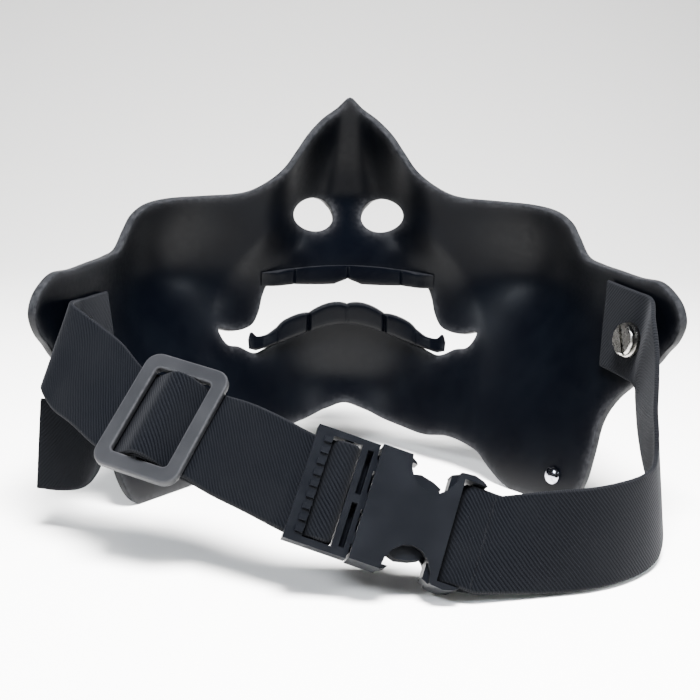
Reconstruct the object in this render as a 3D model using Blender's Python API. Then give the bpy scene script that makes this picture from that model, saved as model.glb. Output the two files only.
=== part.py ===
"""Half-face guard in the old warrior style, with its elastic strap, slider and side-release buckle.

The guard stands on its two lower tips, its hollow side towards -Y, and the fastened strap lies in front.
Metres, +Z up. X is across the face, +Y is outwards through the nose, and the table is at Z = 0.
A point of the shell is named by two lengths: its arc, measured round the face from the middle, and its
height.
"""

import math

import bmesh
import bpy
import numpy as np
from mathutils import Matrix, Vector
from mathutils.geometry import delaunay_2d_cdt

# Where the middle of the lips stands, so that the whole part is centred over its origin
LIPS_X = 0.0
LIPS_Y = 0.0580

# Moulded shell
HEIGHT = 0.114           # from the lower tips to the nose bridge
HALF_ARC = 0.1302        # from the middle of the face round to a wing tip
WALL = 0.0024
LEAN = 0.10              # how far the face leans back towards the hollow side, for each length of height
LEVEL_FOOT = 0.010       # below this height the wall's thickness turns level, so that the tips stand flat
CHEEK_FLAT = 0.014       # arc before the face starts to turn, at cheek height
CHEEK_TURN_END = 0.092   # arc at which it has turned fully
CHEEK_TURN = 70.0        # degrees
JAW_TURN_END = 0.026     # the same at the jaw's edge, which turns from the middle on
JAW_TURN = 52.0
JAW_BLEND = 0.062        # height at which the jaw's curve has become the cheek's
NOSE_DEPTH = 0.0254
NOSE_HALF_WIDTH = 0.0185
MUZZLE_DEPTH = 0.0062
CHEEK_BULGE = 0.006
CHIN_BULGE = 0.005
MOUTH_HALF_ARC = 0.0430
MOUTH_TOP = 0.0568       # height of the notch between the two middle upper teeth
NOSTRIL_ARC = 0.0110
NOSTRIL_HEIGHT = 0.0764
NOSTRIL_HALF_WIDTH = 0.0064
NOSTRIL_HALF_HEIGHT = 0.0051
NOSTRIL_TILT = 0.10      # how far a nostril rises for each length of arc
SHELL_STEP = 0.0047      # spacing of the shell's faces
RIM_STEP = 0.0036        # spacing of the points along its edges

# Teeth
TOOTH_WALL = 0.0026
LIP_GAP = 0.00035        # between the teeth's strips and the shell
UPPER_TEETH_TOP = 0.0606
UPPER_TEETH_DROP = 0.0018  # how far the upper strip's top falls from the middle to its ends
UPPER_EDGE_DROP = 0.0012   # the same for its lower edge
NOTCH_RISE = 0.0014        # of the notch between the two middle teeth
LOWER_TEETH_TOP = 0.0494
LOWER_TEETH_DROP = 0.0085  # how far the lower strip's top falls from the middle to its ends
LOWER_TEETH_BAND = 0.0072
LOWER_SIDE_DROP = 0.0020   # how much lower the side teeth's crowns lie
TOOTH_CROWN = 0.0010       # how far a crown rises between its joints
TOOTH_GROOVE = 0.0009
FANG_RISE = 0.0018
FANG_POINT = 0.0022        # how far the lower strip's lower edge rises to its pointed ends

# Strap
STRAP_WIDTH = 0.025
STRAP_THICK = 0.0014
STRAP_GAP = 0.00035      # between the strap and what it lies on
SEWN_BACK = 0.014        # length turned back at the buckle
SLOT_LIE = 0.0014        # length that lies flat on the sleeve's bar beside its slot
SEWN_LIFT = 0.004        # length past the sleeve's bar at which the turned-back end reaches the strap again
STRAP_STEPS = 5          # steps between two stations of a route

# Buckle, fastened: u runs from its prong half to its sleeve half, v towards the hollow side, w down the strap
BUCKLE_PLACE = (-0.0008, -0.1234, 0.0219)   # middle of the sleeve's mouth
BUCKLE_ALONG = (0.947, -0.058, -0.315)
BUCKLE_ACROSS = (0.301, 0.497, 0.814)
BUCKLE_WIDTH = 0.0290
BUCKLE_THICK = 0.0082
BUCKLE_WALL = 0.0016
SLEEVE_LENGTH = 0.0276
FRAME_LENGTH = 0.0162
FRAME_THICK = 0.0044
GRIP_WIDTH = 0.0043
GRIP_BACK = 0.0001       # the grip bar's back face, behind the middle of the buckle
FRAME_END = 0.0046       # from the sleeve's mouth back to the prong half's window
GRIP_RIDGES = 9
RIDGE_RISE = 0.0006
RIDGE_WIDTH = 0.0014
PRONG_PLATE = 0.0016     # the plate that lies against the sleeve's mouth, along u
PRONG_OPEN = 0.0014      # the open row between that plate and the window's frame
BRIDGE_WIDTH = 0.0022    # of the three bridges over that row
WEB_THICK = 0.0009       # of the skin that closes the row from behind
GUIDE_WIDTH = 0.0042     # of the prong half's middle tongue
BAR_WIDTH = 0.0022
BAR_THICK = 0.0020
SLOT_CORNER = 0.0008
SCALLOP_HALF_LENGTH = 0.0062   # the sleeve's thumb hollows, along u
SCALLOP_HALF_WIDTH = 0.0078
SCALLOP_OPEN = 0.0003    # how far they break through into the cavity
BUCKLE_RUN = 0.0004      # clearance between the two halves

# Slider
SLIDER_PLACE = (-0.0506, -0.1033, 0.0371)
SLIDER_ALONG = (0.899, -0.405, -0.170)
SLIDER_ACROSS = (0.405, 0.618, 0.674)
SLIDER_LENGTH = 0.0237
SLIDER_SIDE = 0.0039     # width of its two long sides
SLIDER_END = 0.0043      # width of its two short sides
SLIDER_THICK = 0.0024
SLIDER_BAR = 0.0028
SLIDER_CORNER = 0.0040
SLIDER_WINDOW_CORNER = 0.0012
SLIDER_BEVEL = 0.0004
SLIDER_BAR_TOP = -0.0002   # the middle bar lies low, so that the strap can pass over it
BAR_ROOT = 0.0008        # how far a bar's ends are sunk into the sides that carry it
JOIN = 0.0005            # how far a joined piece reaches into the next one
CUT_ROOM = 0.0010        # how far a cutter passes the face that it leaves by

# Screws and studs
SCREW_INSET = 0.0184     # arc from a wing's tip back to its screw
SCREW_HEIGHT = 0.0510
SCREW_HEAD_RADIUS = 0.0046
SCREW_HEAD_THICK = 0.0024
SCREW_SLOT = 0.0011
SCREW_TURN = 35.0        # degrees from level to the slot
SCREW_SHANK_RADIUS = 0.0024
SHANK_SHORT = 0.0006     # from the shank's end to the wall's outer face
POST_RADIUS = 0.0050
POST_THICK = 0.0018
POST_GAP = 0.0005        # between the wall and the cap outside it
STUD_INSET = 0.0458      # arc from a wing's tip back to the stud in the jaw's corner
STUD_HEIGHT = 0.0084
STUD_RADIUS = 0.0027
STUD_RISE = 0.0013
STUD_STEM_RADIUS = 0.0011
BORE_GAP = 0.0003
DRILL_REACH = 0.004      # of the drill through the strap, each way
ROUND_SIDES = 24

SCREW_ARC = HALF_ARC - SCREW_INSET
STUD_ARC = HALF_ARC - STUD_INSET
LIPS = (LIPS_X, LIPS_Y, 0.0)


def clear_scene():
    for item in list(bpy.data.objects):
        bpy.data.objects.remove(item, do_unlink=True)


def make_material(name, colour, roughness, metallic=0.0):
    material = bpy.data.materials.new(name)
    material.use_nodes = True
    shader = material.node_tree.nodes["Principled BSDF"]
    shader.inputs["Base Color"].default_value = (*colour, 1.0)
    shader.inputs["Roughness"].default_value = roughness
    shader.inputs["Metallic"].default_value = metallic
    return material


def add_object(name, mesh, material):
    item = bpy.data.objects.new(name, mesh)
    bpy.context.collection.objects.link(item)
    mesh.materials.append(material)
    return item


def closed_mesh(name, points, faces, smooth_angle=None):
    """A mesh from points and faces, with every face turned to point outwards."""
    mesh = bpy.data.meshes.new(name)
    mesh.from_pydata([tuple(p) for p in points], [], [tuple(f) for f in faces])
    work = bmesh.new()
    work.from_mesh(mesh)
    bmesh.ops.recalc_face_normals(work, faces=work.faces)
    work.to_mesh(mesh)
    work.free()
    if smooth_angle is not None:
        mesh.shade_smooth()
        mesh.set_sharp_from_angle(angle=math.radians(smooth_angle))
    return mesh


def ease(t):
    t = np.clip(t, 0.0, 1.0)
    return t * t * (3.0 - 2.0 * t)


def soft_table(x, places, values, spread):
    """Reads a table by straight lines, averaged over a short spread so that its corners are round."""
    taps = ((-1.0, 1.0), (-0.5, 2.0), (0.0, 3.0), (0.5, 2.0), (1.0, 1.0))
    total = sum(weight for _, weight in taps)
    return sum(weight * np.interp(x + step * spread, places, values) for step, weight in taps) / total


ARC_SAMPLES = np.linspace(0.0, 1.25 * HALF_ARC, 1200)


def plan_curve(turn_start, turn_end, turn_degrees):
    """A curve seen from above that starts along X and turns back by an eased angle: x and y along its arc."""
    heading = math.radians(turn_degrees) * ease((ARC_SAMPLES - turn_start) / (turn_end - turn_start))
    step = ARC_SAMPLES[1]
    run = np.cumsum(0.5 * (np.cos(heading[1:]) + np.cos(heading[:-1])) * step)
    back = np.cumsum(0.5 * (np.sin(heading[1:]) + np.sin(heading[:-1])) * step)
    return np.concatenate([[0.0], run]), -np.concatenate([[0.0], back])


CHEEK_PLAN = plan_curve(CHEEK_FLAT, CHEEK_TURN_END, CHEEK_TURN)
JAW_PLAN = plan_curve(0.0, JAW_TURN_END, JAW_TURN)


def wall_base(arc, height):
    """The inner face without its relief: the jaw's plan curve becomes the cheek's with height."""
    arc = np.asarray(arc, float)
    height = np.asarray(height, float) + 0.0 * arc
    reach = np.abs(arc)
    blend = ease(height / JAW_BLEND)
    jaw_x, jaw_y = (np.interp(reach, ARC_SAMPLES, values) for values in JAW_PLAN)
    cheek_x, cheek_y = (np.interp(reach, ARC_SAMPLES, values) for values in CHEEK_PLAN)
    x = (1.0 - blend) * jaw_x + blend * cheek_x
    y = (1.0 - blend) * jaw_y + blend * cheek_y - LEAN * height
    return np.stack([np.sign(arc) * x, y, height], axis=-1)


# Nose: height as a share of HEIGHT, depth as a share of NOSE_DEPTH, half width of NOSE_HALF_WIDTH
NOSE_SECTIONS = (
    (0.50, 0.00, 1.20), (0.57, 0.18, 1.14), (0.63, 0.55, 1.06), (0.70, 0.97, 1.00), (0.79, 1.00, 0.86),
    (0.88, 0.88, 0.68), (1.00, 0.74, 0.52),
)
NOSE_SOFTNESS = 0.035

# Muzzle round the mouth: height as a share of HEIGHT, depth of MUZZLE_DEPTH, half width of HALF_ARC
MUZZLE_SECTIONS = (
    (0.08, 0.00, 0.33), (0.20, 0.42, 0.32), (0.32, 0.92, 0.31), (0.42, 1.00, 0.285), (0.50, 1.00, 0.255),
    (0.57, 0.86, 0.215), (0.63, 0.55, 0.17), (0.70, 0.18, 0.13), (0.76, 0.00, 0.11),
)
MUZZLE_SOFTNESS = 0.04
MUZZLE_SIDE = (0.60, 1.22)   # where its side starts and ends to fall, as shares of its half width

# Bulges: arc of the middle and spread as shares of HALF_ARC, then height and spread as shares of HEIGHT
CHEEK_SPOT = (0.44, 0.16, 0.54, 0.14)
CHIN_SPOT = (0.0, 0.13, 0.20, 0.09)


def bulge(reach, height, spot):
    arc, arc_spread, rise, rise_spread = spot
    along = (reach / HALF_ARC - arc) / arc_spread
    upward = (height / HEIGHT - rise) / rise_spread
    return np.exp(-along ** 2 - upward ** 2)


def relief(arc, height):
    """How far the face stands out from its base: nose, muzzle round the mouth, cheek bulges and chin."""
    reach = np.abs(arc)
    share, depth, width = np.array(NOSE_SECTIONS).T
    nose_depth = NOSE_DEPTH * soft_table(height / HEIGHT, share, depth, NOSE_SOFTNESS)
    nose_width = NOSE_HALF_WIDTH * soft_table(height / HEIGHT, share, width, NOSE_SOFTNESS)
    nose = nose_depth * np.exp(-((reach / nose_width) ** 3.0))
    share, depth, width = np.array(MUZZLE_SECTIONS).T
    half = HALF_ARC * soft_table(height / HEIGHT, share, width, 0.75 * MUZZLE_SOFTNESS)
    muzzle = MUZZLE_DEPTH * soft_table(height / HEIGHT, share, depth, MUZZLE_SOFTNESS)
    start, end = MUZZLE_SIDE
    muzzle = muzzle * (1.0 - ease((reach / half - start) / (end - start)))
    cheek = CHEEK_BULGE * bulge(reach, height, CHEEK_SPOT)
    chin = CHIN_BULGE * bulge(reach, height, CHIN_SPOT)
    return nose + muzzle + cheek + chin


def wall_face(arc, height):
    """The inner face with its relief, pushed out level from the base."""
    arc = np.asarray(arc, float)
    height = np.asarray(height, float) + 0.0 * arc
    base = wall_base(arc, height)
    small = 0.0001
    along = wall_base(arc + small, height) - wall_base(arc - small, height)
    out = np.stack([-along[..., 1], along[..., 0], 0.0 * along[..., 0]], axis=-1)
    out /= np.linalg.norm(out, axis=-1, keepdims=True)
    return base + out * relief(arc, height)[..., None]


def wall_normal(arc, height):
    small = 0.0006
    across = wall_face(np.asarray(arc) + small, height) - wall_face(np.asarray(arc) - small, height)
    upward = wall_face(arc, np.asarray(height) + small) - wall_face(arc, np.asarray(height) - small)
    normal = np.cross(upward, across)
    normal[..., 2] *= ease(np.asarray(height) / LEVEL_FOOT)
    return normal / np.linalg.norm(normal, axis=-1, keepdims=True)


def wall_point(arc, height, out=0.0):
    """A point at a distance out from the inner face; less than zero is on the hollow side."""
    return wall_face(arc, height) + wall_normal(arc, height) * np.asarray(out)[..., None] + np.array(LIPS)


# Outline of the right half, from the nose bridge down the outer edge to the chin:
# arc as a share of HALF_ARC, height as a share of HEIGHT
OUTLINE = (
    (0.027, 0.965), (0.058, 0.936), (0.090, 0.898), (0.119, 0.851), (0.152, 0.803), (0.201, 0.768),
    (0.261, 0.741), (0.349, 0.733), (0.441, 0.729), (0.505, 0.718), (0.549, 0.692), (0.572, 0.658),
    (0.606, 0.614), (0.671, 0.605), (0.754, 0.602), (0.833, 0.598), (0.907, 0.600), (0.960, 0.577),
    (0.990, 0.548), (1.000, 0.512), (0.981, 0.470), (0.948, 0.436), (0.917, 0.402), (0.855, 0.348),
    (0.795, 0.294), (0.760, 0.235), (0.748, 0.155), (0.736, 0.085), (0.712, 0.028), (0.680, 0.000),
    (0.640, 0.000), (0.600, 0.000), (0.560, 0.000), (0.524, 0.000), (0.480, 0.020), (0.440, 0.048),
    (0.408, 0.072), (0.350, 0.086), (0.295, 0.088), (0.230, 0.075), (0.168, 0.077), (0.100, 0.090),
    (0.045, 0.116),
)
OUTLINE_TOP = 1.0
OUTLINE_CHIN = 0.133

# Mouth, right half, from the notch over the teeth round to the middle below:
# arc as a share of MOUTH_HALF_ARC, height as a share of MOUTH_TOP
MOUTH = (
    (0.14, 1.018), (0.32, 1.015), (0.50, 1.005), (0.585, 0.965), (0.625, 0.895), (0.650, 0.810),
    (0.700, 0.742), (0.790, 0.718), (0.890, 0.722), (1.000, 0.742), (0.985, 0.690), (0.935, 0.650),
    (0.840, 0.632), (0.700, 0.585), (0.560, 0.610), (0.360, 0.680), (0.170, 0.738),
)
MOUTH_MIDDLE_ABOVE = 1.020
MOUTH_MIDDLE_BELOW = 0.760


def smooth_loop(points, step):
    """A closed curve through the points (Catmull-Rom), read at about equal steps."""
    points = np.asarray(points, float)
    before, after, beyond = (np.roll(points, shift, axis=0) for shift in (1, -1, -2))
    t = np.linspace(0.0, 1.0, 12, endpoint=False)[:, None, None]
    curve = 0.5 * (2.0 * points + (after - before) * t
                   + (2.0 * before - 5.0 * points + 4.0 * after - beyond) * t ** 2
                   + (3.0 * points - before - 3.0 * after + beyond) * t ** 3)
    curve = curve.transpose(1, 0, 2).reshape(-1, 2)
    closed = np.vstack([curve, curve[:1]])
    length = np.concatenate([[0.0], np.cumsum(np.linalg.norm(np.diff(closed, axis=0), axis=1))])
    count = max(8, round(length[-1] / step))
    at = np.linspace(0.0, length[-1], count, endpoint=False)
    return np.stack([np.interp(at, length, closed[:, 0]), np.interp(at, length, closed[:, 1])], axis=1)


def mirrored_loop(half, first, last, width, height):
    """A loop that is the same on both sides: a middle point, the right half, a middle point, the left."""
    right = [(a * width, h * height) for a, h in half]
    left = [(-a, h) for a, h in reversed(right)]
    return [(0.0, first * height)] + right + [(0.0, last * height)] + left


def nostril_loop(side):
    turn = np.linspace(0.0, 2.0 * math.pi, 16, endpoint=False)
    arc = NOSTRIL_ARC + NOSTRIL_HALF_WIDTH * np.cos(turn)
    height = NOSTRIL_HEIGHT + NOSTRIL_HALF_HEIGHT * np.sin(turn) + NOSTRIL_TILT * (arc - NOSTRIL_ARC)
    return np.stack([side * arc, height], axis=1)


def fastener_loop(side, arc, height, radius, sides):
    turn = np.linspace(0.0, 2.0 * math.pi, sides, endpoint=False)
    return np.stack([side * (arc + radius * np.cos(turn)), height + radius * np.sin(turn)], axis=1)


def inside_loop(points, loop):
    """True for each point inside the loop, by counting the loop's edges to the right of it."""
    x, y = points[:, 0][:, None], points[:, 1][:, None]
    x0, y0 = loop[:, 0][None], loop[:, 1][None]
    x1, y1 = np.roll(loop[:, 0], -1)[None], np.roll(loop[:, 1], -1)[None]
    crosses = (y0 > y) != (y1 > y)
    rise = np.where(y1 == y0, 1.0, y1 - y0)
    at = x0 + (y - y0) * (x1 - x0) / rise
    return (crosses & (x < at)).sum(axis=1) % 2 == 1


def shell_loops(rim_step):
    outline = smooth_loop(mirrored_loop(OUTLINE, OUTLINE_TOP, OUTLINE_CHIN, HALF_ARC, HEIGHT), rim_step)
    outline[:, 1] = np.maximum(outline[:, 1], 0.0)
    mouth = mirrored_loop(MOUTH, MOUTH_MIDDLE_ABOVE, MOUTH_MIDDLE_BELOW, MOUTH_HALF_ARC, MOUTH_TOP)
    mouth = smooth_loop(mouth, 0.8 * rim_step)
    screw_hole = SCREW_SHANK_RADIUS + BORE_GAP
    stud_hole = STUD_STEM_RADIUS + BORE_GAP
    holes = [mouth]
    for side in (1.0, -1.0):
        holes.append(nostril_loop(side))
        holes.append(fastener_loop(side, SCREW_ARC, SCREW_HEIGHT, screw_hole, 12))
        holes.append(fastener_loop(side, STUD_ARC, STUD_HEIGHT, stud_hole, 8))
    return outline, holes


def shell_mesh(step, rim_step):
    """The shell: a net of triangles inside the outline, on the inner face and a wall out, and its rims."""
    outline, holes = shell_loops(rim_step)
    rows = np.arange(0.0, HEIGHT, step * 0.87)
    columns = np.arange(-HALF_ARC, HALF_ARC, step)
    grid = np.vstack([np.stack([columns + step * 0.5 * (k % 2), np.full(len(columns), row)], axis=1)
                      for k, row in enumerate(rows)])
    keep = inside_loop(grid, outline)
    for loop in holes:
        keep &= ~inside_loop(grid, loop)
    edge_points = np.vstack([outline] + holes)
    near = np.sqrt(((grid[:, None] - edge_points[None]) ** 2).sum(axis=2)).min(axis=1)
    grid = grid[keep & (near > 0.55 * step)]
    edges = []
    start = 0
    for loop in [outline] + holes:
        count = len(loop)
        edges += [(start + k, start + (k + 1) % count) for k in range(count)]
        start += count
    points = np.vstack([edge_points, grid])
    flat, _, triangles, _, _, _ = delaunay_2d_cdt([Vector(p) for p in points], edges, [], 0, 1e-7)
    flat = np.array([tuple(p) for p in flat])
    triangles = np.array([tuple(t) for t in triangles])
    middle = flat[triangles].mean(axis=1)
    keep = inside_loop(middle, outline)
    for loop in holes:
        keep &= ~inside_loop(middle, loop)
    triangles = triangles[keep]
    count = len(flat)
    inner = wall_point(flat[:, 0], flat[:, 1])
    outer = wall_point(flat[:, 0], flat[:, 1], WALL)
    sides = np.vstack([triangles[:, [0, 1]], triangles[:, [1, 2]], triangles[:, [2, 0]]])
    known = {(a, b) for a, b in sides}
    rims = [(a, b, b + count, a + count) for a, b in known if (b, a) not in known]
    faces = [tuple(t[::-1]) for t in triangles] + [tuple(t + count) for t in triangles] + sorted(rims)
    return closed_mesh("mask_shell", np.vstack([inner, outer]), faces, 40.0)


def strip_mesh(name, arcs, low, high, inner_out, outer_out, rows):
    """A closed strip that follows the shell: columns at the arcs, rows from low to high, two faces, edges."""
    share = np.linspace(0.0, 1.0, rows)[:, None]
    height = low[None] + (high - low)[None] * share
    arc = np.broadcast_to(arcs[None], height.shape)
    back = wall_point(arc, height, inner_out)
    front = wall_point(arc, height, outer_out)
    columns = len(arcs)
    points = np.vstack([back.reshape(-1, 3), front.reshape(-1, 3)])
    index = np.arange(rows * columns).reshape(rows, columns)
    shift = rows * columns
    faces = []
    for r in range(rows - 1):
        for c in range(columns - 1):
            quad = (index[r, c], index[r, c + 1], index[r + 1, c + 1], index[r + 1, c])
            faces.append(quad)
            faces.append(tuple(k + shift for k in reversed(quad)))
    border = list(index[0]) + list(index[1:, -1]) + list(index[-1, -2::-1]) + list(index[-2:0:-1, 0])
    for k, a in enumerate(border):
        b = border[(k + 1) % len(border)]
        faces.append((b, a, a + shift, b + shift))
    return closed_mesh(name, points, faces, 35.0)


def tooth_columns(joints, per_tooth):
    """Arcs of the columns of a row of teeth, and how far each is through its tooth, from joint to joint."""
    arcs = []
    phase = []
    for left, right in zip(joints[:-1], joints[1:]):
        share = np.linspace(0.0, 1.0, per_tooth, endpoint=False)
        arcs.append(left + (right - left) * share)
        phase.append(share)
    arcs.append(np.array([joints[-1]]))
    phase.append(np.array([1.0]))
    return np.concatenate(arcs), np.concatenate(phase)


# Joints between teeth as shares of MOUTH_HALF_ARC
UPPER_JOINTS = (-0.64, -0.40, 0.0, 0.40, 0.64)
LOWER_JOINTS = (-0.76, -0.51, -0.28, 0.0, 0.28, 0.51, 0.76)


# How much of the depth is left at a strip's ends, and over which share of the strip it tapers
UPPER_TAPER = (0.12, 0.22)
LOWER_TAPER = (0.22, 0.16)


def strip_depth(side, joint, taper):
    """Depth of a row of teeth: grooved at its joints and tapered to both ends."""
    left, share = taper
    return (TOOTH_WALL - TOOTH_GROOVE * joint) * (left + (1.0 - left) * ease((1.0 - side) / share))


def upper_teeth_mesh():
    arcs, phase = tooth_columns([j * MOUTH_HALF_ARC for j in UPPER_JOINTS], 6)
    side = np.abs(arcs) / (UPPER_JOINTS[-1] * MOUTH_HALF_ARC)
    high = UPPER_TEETH_TOP - UPPER_TEETH_DROP * side ** 2
    notch = NOTCH_RISE * np.minimum(1.0, np.abs(arcs) / (0.10 * MOUTH_HALF_ARC))
    crown = 0.25 * TOOTH_GROOVE * np.sin(math.pi * phase)
    low = MOUTH_TOP - notch - UPPER_EDGE_DROP * side ** 2 - crown
    joint = np.exp(-(np.minimum(phase, 1.0 - phase) / 0.08) ** 2)
    depth = strip_depth(side, joint, UPPER_TAPER)
    return strip_mesh("upper_teeth", arcs, low, high, -(LIP_GAP + depth), -LIP_GAP, 4)


def lower_teeth_mesh():
    arcs, phase = tooth_columns([j * MOUTH_HALF_ARC for j in LOWER_JOINTS], 6)
    side = np.abs(arcs) / (LOWER_JOINTS[-1] * MOUTH_HALF_ARC)
    crown = TOOTH_CROWN * np.sin(math.pi * phase) * (side < 0.92)
    fang = FANG_RISE * np.exp(-((side - 0.955) / 0.045) ** 2)
    high = LOWER_TEETH_TOP - TOOTH_GROOVE - LOWER_TEETH_DROP * ease(side / 0.90) + crown + fang
    high -= LOWER_SIDE_DROP * ease((side - 0.60) / 0.2)
    low = LOWER_TEETH_TOP - LOWER_TEETH_BAND - LOWER_TEETH_DROP * ease(side / 0.95)
    low += FANG_POINT * ease((side - 0.90) / 0.10)
    joint = np.exp(-(np.minimum(phase, 1.0 - phase) / 0.10) ** 2)
    depth = strip_depth(side, joint, LOWER_TAPER)
    return strip_mesh("lower_teeth", arcs, low, high, -(LIP_GAP + depth), -LIP_GAP, 4)


def frame_of(place, along, across):
    """The axes of a fitting as a matrix: its length, its face towards the hollow side, and its width."""
    u = Vector(along).normalized()
    w = -Vector(across)
    w = (w - u * w.dot(u)).normalized()
    v = w.cross(u)
    spot = Vector(place) + Vector(LIPS)
    return Matrix(((u.x, v.x, w.x, spot.x), (u.y, v.y, w.y, spot.y), (u.z, v.z, w.z, spot.z), (0, 0, 0, 1)))


BUCKLE_FRAME = frame_of(BUCKLE_PLACE, BUCKLE_ALONG, BUCKLE_ACROSS)
SLIDER_FRAME = frame_of(SLIDER_PLACE, SLIDER_ALONG, SLIDER_ACROSS)


def wall_frame(side, arc, height, out):
    """A fastener's axes: its shank runs out through the wall, and its origin is at the distance out."""
    spot = Vector(wall_point(side * arc, height, out))
    normal = Vector(wall_normal(side * arc, height)).normalized()
    right = Vector((0.0, 0.0, 1.0)).cross(normal).normalized()
    up = normal.cross(right)
    return Matrix(((right.x, up.x, normal.x, spot.x), (right.y, up.y, normal.y, spot.y),
                   (right.z, up.z, normal.z, spot.z), (0, 0, 0, 1)))


def prism(outline, low, high, holes=()):
    """A plate in its own axes: an outline in u and w, cut through by holes, between two values of v."""
    loops = [outline] + list(holes)
    points = [Vector(p) for loop in loops for p in loop]
    edges = []
    start = 0
    for loop in loops:
        edges += [(start + k, start + (k + 1) % len(loop)) for k in range(len(loop))]
        start += len(loop)
    flat, _, triangles, _, _, _ = delaunay_2d_cdt(points, edges, [], 0, 1e-7)
    flat = np.array([tuple(p) for p in flat])
    triangles = np.array([tuple(t) for t in triangles])
    middle = flat[triangles].mean(axis=1)
    keep = inside_loop(middle, np.array(outline))
    for hole in holes:
        keep &= ~inside_loop(middle, np.array(hole))
    triangles = triangles[keep]
    count = len(flat)
    points = [(p[0], low, p[1]) for p in flat] + [(p[0], high, p[1]) for p in flat]
    sides = [(t[a], t[b]) for t in triangles for a, b in ((0, 1), (1, 2), (2, 0))]
    known = set(sides)
    rims = sorted((a, b, b + count, a + count) for a, b in sides if (b, a) not in known)
    faces = [tuple(t[::-1]) for t in triangles] + [tuple(t + count) for t in triangles] + rims
    return points, faces


def rounded_rectangle(u0, u1, w0, w1, radius, steps=4):
    corners = ((u1 - radius, w1 - radius, 0.0), (u0 + radius, w1 - radius, 90.0),
               (u0 + radius, w0 + radius, 180.0), (u1 - radius, w0 + radius, 270.0))
    outline = []
    for cu, cw, start in corners:
        for k in range(steps + 1):
            turn = math.radians(start + 90.0 * k / steps)
            outline.append((cu + radius * math.cos(turn), cw + radius * math.sin(turn)))
    return outline


def solid(points, faces):
    """A loose object for joining or cutting, with its faces pointing out."""
    mesh = closed_mesh("piece", points, faces)
    item = bpy.data.objects.new("piece", mesh)
    bpy.context.collection.objects.link(item)
    return item


def box(u0, u1, v0, v1, w0, w1):
    return solid(*prism([(u0, w0), (u1, w0), (u1, w1), (u0, w1)], v0, v1))


def rod(u, v, width, thick, half_length, sides=12):
    """A bar across a fitting, with an oval section in u and v."""
    turn = np.linspace(0.0, 2.0 * math.pi, sides, endpoint=False)
    ring = [(u + width / 2.0 * math.cos(a), v + thick / 2.0 * math.sin(a)) for a in turn]
    points = [(a, b, -half_length) for a, b in ring] + [(a, b, half_length) for a, b in ring]
    faces = [(k, (k + 1) % sides, (k + 1) % sides + sides, k + sides) for k in range(sides)]
    return solid(points, faces + [tuple(range(sides)), tuple(range(2 * sides - 1, sides - 1, -1))])


def combine(base, others, operation):
    """Joins other pieces to a base, or cuts them from it, and removes them."""
    for other in others:
        step = base.modifiers.new("step", "BOOLEAN")
        step.operation = operation
        step.solver = "EXACT"
        step.object = other
        bpy.context.view_layer.update()
        result = bpy.data.meshes.new_from_object(base.evaluated_get(bpy.context.evaluated_depsgraph_get()))
        base.modifiers.clear()
        base.data = result
        bpy.data.objects.remove(other, do_unlink=True)
    return base


def finish_piece(item, name, frame, material, bevel, smooth_angle=40.0):
    """Rounds a fitting's edges, names it and puts it in its place."""
    mesh = item.data
    mesh.transform(frame)
    mesh.materials.clear()
    mesh.materials.append(material)
    item.name = name
    mesh.name = name
    if bevel > 0.0:
        rounding = item.modifiers.new("edges", "BEVEL")
        rounding.width = bevel
        rounding.segments = 1
        rounding.limit_method = "ANGLE"
        rounding.angle_limit = math.radians(50.0)
    mesh.shade_smooth()
    mesh.set_sharp_from_angle(angle=math.radians(smooth_angle))
    return item


SLIDER_HALF_WIDTH = STRAP_WIDTH / 2.0 + STRAP_GAP + SLIDER_END
WINDOW_HALF = STRAP_WIDTH / 2.0 + STRAP_GAP
BAR_PLACE = -FRAME_END - (STRAP_THICK + 2.0 * STRAP_GAP) - BAR_WIDTH / 2.0   # the buckle's strap bar, in u


def make_slider(material):
    half = SLIDER_LENGTH / 2.0
    outline = rounded_rectangle(-half, half, -SLIDER_HALF_WIDTH, SLIDER_HALF_WIDTH, SLIDER_CORNER)
    inner = half - SLIDER_SIDE
    window = rounded_rectangle(-inner, inner, -WINDOW_HALF, WINDOW_HALF, SLIDER_WINDOW_CORNER, 2)
    frame = solid(*prism(outline, -SLIDER_THICK / 2.0, SLIDER_THICK / 2.0, [window]))
    bar_middle = (SLIDER_BAR_TOP - SLIDER_THICK / 2.0) / 2.0
    bar = rod(0.0, bar_middle, SLIDER_BAR, SLIDER_BAR_TOP + SLIDER_THICK / 2.0, WINDOW_HALF + BAR_ROOT)
    combine(frame, [bar], "UNION")
    return finish_piece(frame, "slider", SLIDER_FRAME, material, SLIDER_BEVEL)


# Sleeve outline, upper half: u as a share of SLEEVE_LENGTH, w as a share of half BUCKLE_WIDTH
SLEEVE_OUTLINE = (
    (0.00, 1.00), (0.27, 1.00), (0.33, 0.93), (0.42, 0.70), (0.50, 0.62), (0.58, 0.72),
    (0.66, 0.91), (0.74, 0.98), (0.85, 1.00), (0.94, 0.95), (1.00, 0.86),
)
SLEEVE_CAVITY = 0.66       # depth of the sleeve's cavity, as a share of its length
SLEEVE_SLOT = (0.775, 0.895)  # where the strap's slot starts and ends, as shares of its length


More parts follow.
